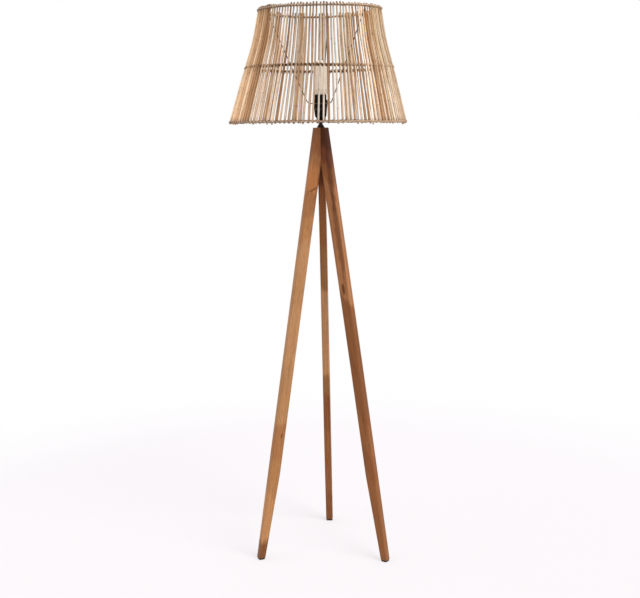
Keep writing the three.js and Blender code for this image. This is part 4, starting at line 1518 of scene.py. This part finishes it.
@dataclass
class Sticks:
    """The natural sticks of the shade, each a little different. Sizes in millimetres.

    A pair is the range from which chance picks evenly.

    Attributes:
        node_sections: Where the extra sections round a growth node lie.
        node_swell: Half the height over which a growth node swells, and node_ring darkens.
        node_start: From where a stick's growth nodes are counted, above the shade's foot.
        cut_depth: A section nearer than this to an end is the cut itself.
        bow_waves: How many waves a bow has over the shade's height.
        low_slide: How far its lower end is moved sideways, as a share of the pitch.
        end_scatter: How far its lower end stands above the shade's foot.
        tip_scatter: How far its tip lies below tip_drop under the shade's top.
        thinning: How much thinner a stick gets from end to tip, as a share; painted_top_shade is how much
            darker it is drawn towards the tip, as painted shade.
        tip_stain: How far below the top the stain on the tips starts, its fade, and its depth.
        painted_stick_shading: The values a, b and c of the painted light and shade round each stick, in
            marks().
        painted_left_light: What each colour channel gains at the left, as painted light, as a share. The
            other painted side lights and the front's painted shade alike.
        painted_light_patches: Azimuth and width in radians of each patch of painted light, and how much
            paler it makes the sticks; below nought it is painted shade.
        upper_tint: What is taken from each channel at the tips.
        painted_inside_shade: What is added to each channel on a stick's inner side, as painted shade.
    """

    finishes: Materials
    shape: ShadeShape
    count: int = 120
    panels: int = 12
    sides: int = 10
    stations: int = 17
    growth_nodes: int = 4
    node_sections: tuple[float, ...] = (-2.6, -0.7, 0.7, 2.6)
    node_swell: float = 1.6
    node_ring: float = 1.1
    node_size_range: Pair = (0.12, 0.42)
    node_spacing: Pair = (58.0, 96.0)
    node_start: Pair = (-30.0, 60.0)
    cut_depth: float = 0.05
    cut_tilt: Pair = (-0.35, 0.35)
    bow_size: float = 0.8
    bow_waves: Pair = (0.6, 1.6)
    taper_range: Pair = (-0.12, 0.12)
    thickness: Chance = Chance(2.66, 0.24, 2.1, 3.15)
    low_slide: Chance = Chance(0, 0.11, -0.26, 0.26)
    high_slide: Chance = Chance(0, 0.09, -0.22, 0.22)
    end_scatter: Chance = Chance(0, 1.8, -4.4, 4.4)
    tip_scatter: Chance = Chance(0, 2.0, -5.4, 5.4)
    tip_drop: float = 2.2
    thinning: float = 0.24
    painted_top_shade: float = 0.26
    tone_drift: Pair = (-0.14, 0.14)
    brightness: Pair = (0.84, 1.10)
    tip_stain: Triple = (12.0, 4.0, 0.45)
    painted_stick_shading: Triple = (1.06, 0.04, 0.38)
    painted_left_light: Colour = (0.33, 0.27, 0.18)
    painted_right_light: Colour = (0.35, 0.29, 0.20)
    painted_front_shade: Colour = (-0.19, -0.16, -0.09)
    painted_rear_light: Colour = (0.14, 0.12, 0.08)
    painted_light_patches: tuple[Triple, ...] = (
        (0.30, 0.40, -0.20), (3.14, 0.30, -0.05), (3.85, 0.30, 0.07), (5.50, 0.30, 0.26),
        (6.05, 0.26, -0.20),
    )
    upper_tint: Colour = (0.03, 0.10, 0.22)
    painted_inside_shade: Colour = (0.03, -0.04, -0.16)
    seed: int = 908

    def __post_init__(self) -> None:
        """Draw what sets each stick apart, once for the whole shade."""
        rng = np.random.default_rng(self.seed)
        n = self.count
        self.pitch = TURN / n
        self.azimuth = (np.arange(n) + 0.5) * self.pitch
        self.radius = self.thickness.draw(rng, n)
        self.taper = rng.uniform(*self.taper_range, n)
        self.low_shift = self.low_slide.draw(rng, n) * self.pitch
        self.high_shift = self.high_slide.draw(rng, n) * self.pitch
        self.bow = rng.normal(0, self.bow_size, (2, n))
        self.bow_phase = rng.uniform(0, TURN, (2, n))
        self.bow_turns = rng.uniform(*self.bow_waves, (2, n))
        self.end = self.shape.low + self.end_scatter.high - np.abs(self.end_scatter.draw(rng, n))
        self.end += self.shape.rim_rise(self.azimuth)
        self.tip = self.shape.high - self.tip_drop - np.abs(self.tip_scatter.draw(rng, n))
        self.end_tilt = rng.uniform(*self.cut_tilt, (2, n))
        self.node_height = self.nodes(rng)
        self.node_size = rng.uniform(*self.node_size_range, (n, self.growth_nodes))
        self.colour = self.tones(rng)
        self.colour_drift = rng.uniform(*self.tone_drift, n)
        self.skin_start = rng.uniform(0, 9, n)

    def nodes(self, rng: np.random.Generator) -> Array:
        """Choose the heights of each stick's growth nodes, one row a stick."""
        spacing = rng.uniform(*self.node_spacing, (self.count, self.growth_nodes))
        start = self.shape.low + rng.uniform(*self.node_start, self.count)
        return start[:, None] + np.cumsum(spacing, axis=1)

    def tones(self, rng: np.random.Generator) -> Array:
        """Choose each stick's tone, with painted light and shade by its place round the shade.

        At azimuth a, the odds of a tone are its share times 1 - w cos a for its painted side bias w.
        The painted side lights grow as cos^2 a, at the right times 1 - 0.85 cos^4 a, the painted
        shade at the front and the painted light at the rear as sin^4 a, and a patch of painted
        light about c as exp(-2 (1 - cos(a - c)) / width^2).

        Args:
            rng: The source of chance.

        Returns:
            Linear colours, one row a stick.
        """
        across, back = np.cos(self.azimuth)[:, None], np.sin(self.azimuth)[:, None]
        shares = np.array([tone.share for tone in STICK_TONES])
        painted_side_bias = np.array([tone.painted_side_bias for tone in STICK_TONES])
        # Painted light: darker, warmer tones are picked more often on the left and paler ones on the right.
        odds = shares * (1 - painted_side_bias * across)
        steps = np.cumsum(odds / odds.sum(1, keepdims=True), axis=1)
        pick = (rng.uniform(0, 1, (self.count, 1)) > steps[:, :-1]).sum(1)
        colours = np.array([tone.colour for tone in STICK_TONES])[pick]
        # Painted light: paler sticks at both sides, painted shade at the front and paler sticks at the
        # rear.
        shoulder = across**2 * (1 - 0.85 * across**4)
        left, right = across**2 * self.painted_left_light, shoulder * self.painted_right_light
        colours = colours * (1 + np.where(across < 0, left, right))
        front, rear = back**4 * self.painted_front_shade, back**4 * self.painted_rear_light
        colours = colours * (1 + np.where(back < 0, front, rear))
        # Patches of painted light, and of painted shade where the lift is below nought.
        for azimuth, width, lift in self.painted_light_patches:
            near = np.exp(-2 * (1 - np.cos(self.azimuth - azimuth)) / width**2)
            colours = colours * (1 + lift * near)[:, None]
        return colours * rng.uniform(*self.brightness, (self.count, 1))

    def heights(self, chosen: Array) -> Array:
        """Give the heights of the sections of some sticks.

        Even steps from end to tip, with four more round each growth node, in order.

        Args:
            chosen: The sticks' numbers.

        Returns:
            Heights, shaped sticks by sections.
        """
        share = np.linspace(0, 1, self.stations)
        end, tip = self.end[chosen, None], self.tip[chosen, None]
        extra = (self.node_height[chosen, :, None] + np.array(self.node_sections)).reshape(len(chosen), -1)
        extra = np.clip(extra, end + 0.4, tip - 0.4)
        return np.sort(np.concatenate([end + (tip - end) * share, extra], axis=1), axis=1)

    def panel(self, index: int) -> Surface:
        """Model one panel of sticks.

        A stick's middle follows the shade's form. Its azimuth slides from its lower shift to
        its upper one, and two slow sine bows bend it sideways and outwards. Its radius
        tapers, swells at each growth node as exp(-(d/w)^2), and its ends are rounded.

        Args:
            index: Which panel, from 0.

        Returns:
            The skin, with the sticks' tones, their painted light and shade, and marks.
        """
        per_panel = self.count // self.panels
        chosen = np.arange(per_panel) + index * per_panel
        height = self.heights(chosen)
        share = (height - self.shape.low) / (self.shape.high - self.shape.low)
        pick = (chosen, None)
        slide = self.low_shift[pick] + (self.high_shift - self.low_shift)[pick] * share
        turn = TURN * self.bow_turns[:, chosen, None] * share + self.bow_phase[:, chosen, None]
        sideways, outwards = self.bow[:, chosen, None] * np.sin(turn)
        reach = self.shape.reach(height) + 0.45 * outwards
        angle = self.azimuth[pick] + slide + sideways / reach
        middle = self.shape.place(angle, reach, height)
        distance = np.abs(height[..., None] - self.node_height[chosen, None, :])
        near_node = np.exp(-((distance / self.node_swell) ** 2))
        swell = (self.node_size[chosen, None, :] * near_node).sum(-1)
        slimming = 1 + self.taper[pick] * (share - 0.5) - self.thinning * share
        near_end = np.minimum(height - self.end[pick], self.tip[pick] - height)
        rounding = np.sqrt(np.clip(0.72 + near_end / 1.5, 0, 1))
        radius = (self.radius[pick] * slimming + swell) * rounding
        grid = self.rings(middle, angle, radius, near_end, chosen)
        around = np.linspace(0, TURN * self.shape.stick_radius * MM, self.sides + 1)
        skin = tubes(grid, around, height * MM + self.skin_start[pick])
        skin.values = self.marks(height, share, distance, near_end, chosen)
        return skin

    def rings(self, middle: Array, angle: Array, radius: Array, near_end: Array, chosen: Array) -> Array:
        """Lay a ring of points round every place on the sticks' middle lines.

        The ring lies level, one axis outwards and one sideways, because the sticks stand
        nearly upright, and the first and last ring tilt as the cut does.

        Args:
            middle: Places, in metres.
            angle: Azimuth of each place, in radians.
            radius: Of the stick at each place.
            near_end: Distance to the nearer end.
            chosen: The sticks' numbers.

        Returns:
            Points, shaped sticks by sections by sides by 3, in metres.
        """
        cos, sin, level = np.cos(angle), np.sin(angle), np.zeros_like(angle)
        outwards = np.stack([cos, sin, level], axis=-1)[:, :, None]
        sideways = np.stack([-sin, cos, level], axis=-1)[:, :, None]
        turn, number = round_angles(self.sides), chosen[:, None]
        wobble = 1 + 0.05 * np.sin(2 * turn + number) + 0.03 * np.sin(3 * turn + 2.0 * number)
        size = radius[..., None] * wobble[:, None, :] * MM
        across = np.cos(turn)[:, None] * outwards + np.sin(turn)[:, None] * sideways
        lean, slant = self.end_tilt[:, chosen, None, None]
        tilt = lean * np.cos(turn) + slant * np.sin(turn)
        cut = (near_end < self.cut_depth)[..., None] * tilt * radius[..., None] * MM
        grid = middle[:, :, None] + size[..., None] * across
        grid[..., 2] += np.where(np.arange(middle.shape[1])[:, None] > 0, -np.abs(cut), np.abs(cut))
        return grid

    def marks(
        self, height: Array, share: Array, distance: Array, near_end: Array, chosen: Array
    ) -> dict[str, Array]:
        """Work out the tone of every point with its painted light and shade, its part in a node's dark
        ring, and the cut ends.

        With t the turn round the stick from its outermost line, its tone is scaled by
        a + b cos t - c sin^2 t: a painted highlight on its outer side, and painted shade between
        its neighbours and inside.

        Args:
            height: Of every section.
            share: The same, from 0 at the shade's foot to 1 at its top.
            distance: To every growth node of the stick.
            near_end: To the nearer end.
            chosen: The sticks' numbers.

        Returns:
            Values by name, one row a point.
        """
        across, turn = np.cos(self.azimuth[chosen, None]), round_angles(self.sides)
        # Painted shade: the sticks are drawn darker towards the top, less so on the right side where the
        # sun falls.
        top_shade = self.painted_top_shade * (1 - 0.5 * np.clip(across, 0, 1))
        drift = 1 + self.colour_drift[chosen, None] * (share - 0.5) * 2 - top_shade * (share - 0.3)
        start, over, stain = self.tip_stain
        stained = stain * np.clip((height - self.shape.high + start) / over, 0, 1)
        tone = self.colour[chosen, None, :] * (drift * (1 - stained))[..., None]
        tone = tone * (1 - share[..., None] ** 2 * self.upper_tint)
        tone = np.concatenate([tone, np.ones_like(tone[..., :1])], axis=-1)
        # Painted light and shade round each stick: paler where it faces out, painted shade on its flanks,
        # weaker at the shade's sides.
        even, outside, flank = self.painted_stick_shading
        flank_shade = flank * (1 - 0.65 * across**2)
        painted_shading = even + outside * np.cos(turn) - flank_shade * np.sin(turn) ** 2
        # Painted shade on the inner side of every stick: less blue and a little darker.
        inside_shade = 1 + np.clip(-np.cos(turn), 0, 1)[:, None] * self.painted_inside_shade
        painted_shading = painted_shading[:, None, :, None] * np.concatenate([inside_shade, np.ones((self.sides, 1))], axis=1)
        ring = np.exp(-((distance / self.node_ring) ** 2)).max(-1)
        cut = (near_end < self.cut_depth).astype(float)
        return {
            "stick_tone_and_shading": (tone[:, :, None] * painted_shading).reshape(-1, 4),
            "node_mark": np.repeat(ring.ravel(), self.sides),
            "cut_end": np.repeat(cut.ravel(), self.sides),
        }

    def build(self) -> None:
        """Make and dress every panel."""
        for index in range(self.panels):
            name, node = f"rattan_sticks_{index + 1:02d}", f"stick_panel_{index + 1:02d}"
            add_piece(name, self.panel(index), Body.SHADE, self.finishes["rattan"], [node], 50)


@dataclass(frozen=True)
class Lacing:
    """How the cane is wound round a hoop and its sticks. Sizes in millimetres.

    Attributes:
        level: Which hoop, as its place in the list of heights.
        rise: How far the cane climbs above and falls below the hoop's middle.
        tilt: How far the hoop stands higher at its middle, on the right, at the front and at
            both sides.
        rod_radius: Of the inner hoop.
        strip_height: Of the strip outside the sticks, or nought without one.
        strip_lift: How far the strip lies above the hoop's middle.
    """

    level: int
    width: float
    thickness: float
    rise: float
    tilt: tuple[float, float, float, float]
    rod_radius: float
    strip_height: float = 0.0
    strip_thickness: float = 0.0
    strip_lift: float = 0.0

    def rise_at(self, angle: Array) -> Array:
        """How far the tilted hoop stands above its level at an angle."""
        lift, right, front, sides = self.tilt
        return lift + right * np.cos(angle) - front * np.sin(angle) + sides * np.cos(angle) ** 2


LACINGS = {
    "bottom": Lacing(
        level=0, width=2.0, thickness=0.6, rise=2.6, tilt=(-0.2, 0.1, 0.0, 0.0), rod_radius=2.0,
        strip_height=2.2, strip_thickness=1.4, strip_lift=1.2,
    ),
    "middle": Lacing(
        level=1, width=2.6, thickness=0.8, rise=4.8, tilt=(1.4, 0.1, 1.3, 0.0), rod_radius=3.3,
    ),
    "top": Lacing(
        level=2, width=3.2, thickness=0.6, rise=3.0, tilt=(0.0, 1.2, 1.9, 2.4), rod_radius=2.6,
        strip_height=3.4, strip_thickness=1.5, strip_lift=0.9,
    ),
}


@dataclass
class Hoops:
    """Inner hoops, outer strips and the lacing that ties the sticks between them, in millimetres.

    Attributes:
        rod_gap: Between an inner hoop and the sticks, beyond the hoop's clearance.
        rod_slack: How much thinner the rod is than its place.
        strip_pull: How far the strip is pulled in between two sticks.
    """

    finishes: Materials
    shape: ShadeShape
    turns: int = 120
    turn_steps: int = 14
    rod_gap: float = 0.3
    rod_slack: float = 0.2
    strip_pull: float = 0.25
    seed: int = 31

    def rise_at(self, lacing: Lacing, angle: Array) -> Array:
        """How far a hoop stands above its level at an angle."""
        return lacing.rise_at(angle) + (self.shape.rim_rise(angle) if lacing.level == 0 else 0.0)

    def rod(self, lacing: Lacing) -> Surface:
        """Model an inner hoop: a rod bent round, with slow waves in its place and thickness.

        Args:
            lacing: The hoop's lacing, for its height.

        Returns:
            The skin.
        """
        height, number = self.shape.hoops[lacing.level], lacing.level
        angle = round_angles(180)
        inside = self.shape.stick_radius + self.shape.hoop_clearance + lacing.rod_radius
        reach = np.full_like(angle, self.shape.reach(height) - inside - self.rod_gap)
        wave = 0.4 * np.sin(3 * angle + number) + 0.3 * np.sin(7 * angle + 2 * number)
        path = self.shape.place(angle, reach, height + wave + self.rise_at(lacing, angle))
        size = 1 + 0.05 * np.sin(5 * angle + 1.7 * number) + 0.03 * np.sin(23 * angle)
        section = ring_section((lacing.rod_radius - self.rod_slack) * MM, 12) * size[:, None, None]
        return swept(path, section, closed=True)

    def strip(self, lacing: Lacing) -> Surface:
        """Model an outer strip: a split cane pressed on the sticks, waving a little.

        Args:
            lacing: The hoop's lacing, for the strip's sizes.

        Returns:
            The skin.
        """
        height = self.shape.hoops[lacing.level] + lacing.strip_lift
        angle = round_angles(360)
        outside = self.shape.stick_radius + lacing.strip_thickness / 2
        wave = 0.35 * np.sin(4 * angle + 2.1 * lacing.level) + 0.2 * np.sin(11 * angle)
        pull = -self.strip_pull * (1 - np.cos(self.turns * angle)) / 2
        level = height + wave + self.rise_at(lacing, angle)
        path = self.shape.place(angle, self.shape.reach(height) + outside + pull, level)
        slope = (self.shape.reach(height + 1) - self.shape.reach(height - 1)) / 2
        leaning = np.stack([slope * np.cos(angle), slope * np.sin(angle), np.ones_like(angle)], axis=-1)
        section = strip_section(lacing.strip_height * MM, lacing.strip_thickness * MM)
        return swept(path, section, closed=True, up=leaning)

    def winding(self, lacing: Lacing) -> Surface:
        """Model the lacing: a flat cane that goes once round hoop, stick and strip at every stick.

        With t how far it has turned, in radians, its middle lies at reach c + a cos t and height
        h + b sin t, so it climbs across the outside of a stick, dips in through the gap above the
        rod, falls behind it and comes out below. Chance changes b and h a little at each turn,
        softened over one turn.

        Args:
            lacing: Its sizes.

        Returns:
            The skin.
        """
        rng = np.random.default_rng(self.seed + lacing.level)
        steps, height, stick = self.turn_steps, self.shape.hoops[lacing.level], self.shape.stick_radius
        t = np.linspace(0, TURN * self.turns, steps * self.turns, endpoint=False)
        angle = t / self.turns + TURN / self.turns / 2
        outer = stick + lacing.strip_thickness + lacing.thickness * 0.6
        inner = stick + self.shape.hoop_clearance + 2 * lacing.rod_radius + lacing.thickness * 0.5
        kernel = np.hanning(steps + 2)[1:-1]
        kernel = kernel / kernel.sum()
        jitter = np.repeat(rng.normal(0, 1, (2, self.turns)), steps, axis=1)
        wrapped = np.concatenate([jitter[:, -steps:], jitter, jitter[:, :steps]], axis=1)
        taller, shifted = (np.convolve(row, kernel, "same")[steps:-steps] for row in wrapped)
        hoop = height + self.rise_at(lacing, angle)
        core = self.shape.reach(height) + (outer - inner) / 2
        level = hoop + (lacing.rise + 0.25 * taller) * np.sin(t) + 0.35 * shifted
        level = level + lacing.strip_lift * (1 + np.cos(t)) / 2
        path = self.shape.place(angle, core + (outer + inner) / 2 * np.cos(t), level)
        away = path - self.shape.place(angle, np.full_like(t, core), hoop)
        away = away / np.linalg.norm(away, axis=1, keepdims=True)
        corners = np.array([(-1, -1), (1, -1), (0.7, 1), (-0.7, 1)])
        section = corners * (lacing.width / 2 * MM, lacing.thickness / 2 * MM)
        return swept(path, section, closed=True, up=away)

    def build(self) -> None:
        """Make and dress the hoops, strips and lacing."""
        finishes, split = self.finishes, self.finishes["strip"]
        for name, lacing in LACINGS.items():
            place = "" if name == "middle" else "rim_"
            hoop, cane = finishes[f"{place}hoop"], finishes[f"{place}lacing"]
            rod, inner = self.rod(lacing), f"{name}_inner_hoop"
            add_piece(f"{name}_hoop_rod", rod, Body.SHADE, hoop, [inner])
            if lacing.strip_height > 0:
                strip, outer = self.strip(lacing), f"{name}_outer_hoop"
                add_piece(f"{name}_cane_strip", strip, Body.SHADE, split, [outer], 60)
            add_piece(f"{name}_lacing", self.winding(lacing), Body.SHADE, cane, (), 60)


@dataclass
class WireFrame:
    """The fitter ring and the three wires that hold the shade. Sizes in millimetres.

    Attributes:
        kink_reach: Where a wire turns up.
        bend: Length of wire that the turn takes on both sides.
        ring_overlap: How far a wire reaches into the ring.
        hoop_inset: From the place where a hoop would touch the sticks to the wire's outer side.
        end_lift: How far a wire ends above the top hoop's middle.
        turn: How far the shade is turned from the legs, in degrees.
    """

    finishes: Materials
    shape: ShadeShape
    bore: float = 17.1
    wire_radius: float = 1.3
    kink_reach: float = 36.0
    bend: float = 9.0
    ring_overlap: float = 0.6
    hoop_inset: float = 7.0
    end_lift: float = 1.5
    turn: float = -5.0

    def ring(self) -> Surface:
        """Model the fitter ring, stamped from sheet, with rounded edges."""
        low, high, reach = size_of("fitter_ring")
        corners = [(self.bore, low, 0.4), (reach, low, 0.6), (reach, high, 0.6), (self.bore, high, 0.4)]
        return turned(corners, 64)

    def arm(self, azimuth: float) -> Surface:
        """Model a wire: out of the ring, round a bend and straight up to the top hoop.

        Args:
            azimuth: Where it rises, in degrees.

        Returns:
            The skin.
        """
        low, high, rim = size_of("fitter_ring")
        shape, level, top = self.shape, (low + high) / 2, self.shape.hoops[2]
        hoop = shape.reach(top) - shape.stick_radius - shape.hoop_clearance - self.hoop_inset
        end = np.array([hoop - self.wire_radius, top + self.end_lift])
        kink = np.array([self.kink_reach, level])
        rise = (end - kink) / np.linalg.norm(end - kink)
        after = kink + self.bend * rise
        turning = curved(kink - [self.bend, 0.0], kink, after, 8)
        straight = after + (end - after) * np.linspace(0, 1, 12)[1:, None]
        line = np.concatenate([[[rim - self.ring_overlap, level]], turning, straight])
        cos, sin = math.cos(math.radians(azimuth)), math.sin(math.radians(azimuth))
        share = np.clip((line[:, 1] - level) / (top - level), 0, 1)
        x = line[:, 0] * cos + share * shape.lean(top)
        path = np.stack([x, line[:, 0] * sin, line[:, 1]], axis=-1) * MM
        return swept(path, ring_section(self.wire_radius * MM, 12), up=np.array([-sin, cos, 0.0]))

    def build(self) -> None:
        """Make and dress the ring and the wires."""
        steel = self.finishes["wire"]
        add_piece("frame_ring", self.ring(), Body.SHADE, steel, ["fitter_ring"])
        for side, azimuth in SIDES.items():
            wire, node = self.arm(azimuth + self.turn), f"shade_arm_{side}"
            add_piece(f"frame_wire_{side}", wire, Body.SHADE, steel, [node])


# Studio


@dataclass
class Studio:
    """A pale floor, soft light from the right and above, and the portrait's camera.

    Lengths in metres, angles in degrees.

    Attributes:
        lens: Focal length for the sensor's width, both in millimetres.
        distance: From the lamp's axis to the camera, along the floor.
        height: Of the camera above the floor.
        azimuth: How far it stands to the right of straight ahead.
        pitch: How far it looks down.
        slide: How far it stands to its own right.
        sky: Strength of the even light from all round.
        white: What the camera sees beyond the floor.
        suns: Strength of each, its azimuth to the right of the front, height and breadth.
        floor_fade: Between which distances from the lamp the floor turns white.
        floor_bounce: Colour that the floor sends back to the lamp.
        floor_shade: Colour of the part of the floor that takes shadows.
        floor_glow: Colour of the even rest of the floor, of strength floor_light.
    """

    lens: float = 60.2
    sensor: float = 36.0
    distance: float = 2.908
    height: float = 1.220
    azimuth: float = 4.12
    pitch: float = 9.79
    roll: float = -0.65
    slide: float = -0.0073
    sky: float = 0.62
    white: Colour = (1.0, 0.996, 1.0)
    sunlight: Colour = (1.0, 0.985, 0.965)
    suns: dict[str, tuple[float, float, float, float]] = field(
        default_factory=lambda: {"key": (1.9, 48.0, 42.0, 38.0), "fill": (0.6, -80.0, 34.0, 70.0)}
    )
    floor_reach: float = 8.0
    floor_fade: Pair = (1.1, 1.75)
    floor_bounce: Colour = (0.66, 0.65, 0.66)
    floor_shade: Colour = (0.32, 0.31, 0.32)
    floor_glow: Colour = (1.0, 0.975, 1.0)
    floor_light: float = 0.624

    def camera(self) -> None:
        """Stand the camera where the portrait was taken from.

        Its right is (cos a, sin a, 0), its forward axis looks down by the pitch, and its up axis
        is right cross forward. The roll then turns right and up about forward.
        """
        a, p, r = (math.radians(x) for x in (self.azimuth, self.pitch, self.roll))
        right = np.array([math.cos(a), math.sin(a), 0.0])
        forward = np.array([-math.sin(a) * math.cos(p), math.cos(a) * math.cos(p), -math.sin(p)])
        up = np.cross(right, forward)
        place = np.array([self.distance * math.sin(a), -self.distance * math.cos(a), self.height])
        place = place + self.slide * right
        rolled = math.cos(r) * right + math.sin(r) * up
        upward = math.cos(r) * up - math.sin(r) * right
        data = bpy.data.cameras.new("portrait")
        data.lens = self.lens
        data.sensor_width = self.sensor
        camera = into_scene("portrait", data)
        matrix = np.eye(4)
        matrix[:3] = np.stack([rolled, upward, -forward, place], axis=1)
        camera.matrix_world = Matrix(matrix.tolist())
        bpy.context.scene.camera = camera

    def light(self) -> None:
        """Hang a broad sun on the right and a faint one on the left, under a sky that shows white."""
        for name, (energy, azimuth, height, breadth) in self.suns.items():
            data = bpy.data.lights.new(name, "SUN")
            data.energy = energy
            data.angle = math.radians(breadth)
            data.color = self.sunlight
            turn = (math.radians(90 - height), 0, math.radians(azimuth))
            into_scene(name, data).rotation_euler = turn
        world = bpy.data.worlds.new("studio")
        bpy.context.scene.world = world
        world.use_nodes = True
        sky, background = NodeTree(world.node_tree), world.node_tree.nodes["Background"].inputs
        strength = sky.add("Mix", {0: sky.seen(), 2: self.sky, 3: 1.0}).outputs[0]
        sky.feed(background["Color"], self.white)
        sky.feed(background["Strength"], strength)

    def floor(self) -> None:
        """Lay a pale floor that keeps a faint shadow and fades to white away from the lamp."""
        mesh, half = bpy.data.meshes.new("floor"), self.floor_reach
        corners = [(-half, -half, 0), (half, -half, 0), (half, half, 0), (-half, half, 0)]
        mesh.from_pydata(corners, [], [(0, 1, 2, 3)])
        floor = into_scene("floor", mesh)
        shader = Shader("studio_floor")
        shader.tree.nodes.remove(shader.surface)
        far = shader.remap(shader.length(shader.here()), *self.floor_fade)
        lit, shaded = (
            shader.add("BsdfDiffuse", {"Color": colour}).outputs[0]
            for colour in (self.floor_bounce, self.floor_shade)
        )
        glow, white = (
            shader.add("Emission", {"Color": colour, "Strength": light}).outputs[0]
            for colour, light in ((self.floor_glow, self.floor_light), (self.white, 1.0))
        )
        near = shader.add("AddShader", {0: shaded, 1: glow}).outputs[0]
        shown = shader.add("MixShader", {0: far, 1: near, 2: white}).outputs[0]
        whole = shader.add("MixShader", {0: shader.seen(), 1: lit, 2: shown}).outputs[0]
        shader.feed(shader.output.inputs["Surface"], whole)
        mesh.materials.append(shader.material)

    def build(self) -> None:
        """Set the camera, the light and the floor."""
        self.camera()
        self.light()
        self.floor()
        bpy.context.scene.view_settings.view_transform = "Standard"
        log.info("studio set")


def main() -> None:
    """Build and dress the whole lamp in its studio."""
    logging.basicConfig(level=logging.INFO, format="%(name)s %(message)s")
    Studio().build()
    finishes = {use: finish.material() for use, finish in FINISHES.items()}
    shape = ShadeShape()
    for assembly in (Tripod, Stem, Lampholder, Bulb):
        assembly(finishes).build()
    for assembly in (Sticks, Hoops, WireFrame):
        assembly(finishes, shape).build()


if __name__ == "__main__":
    main()
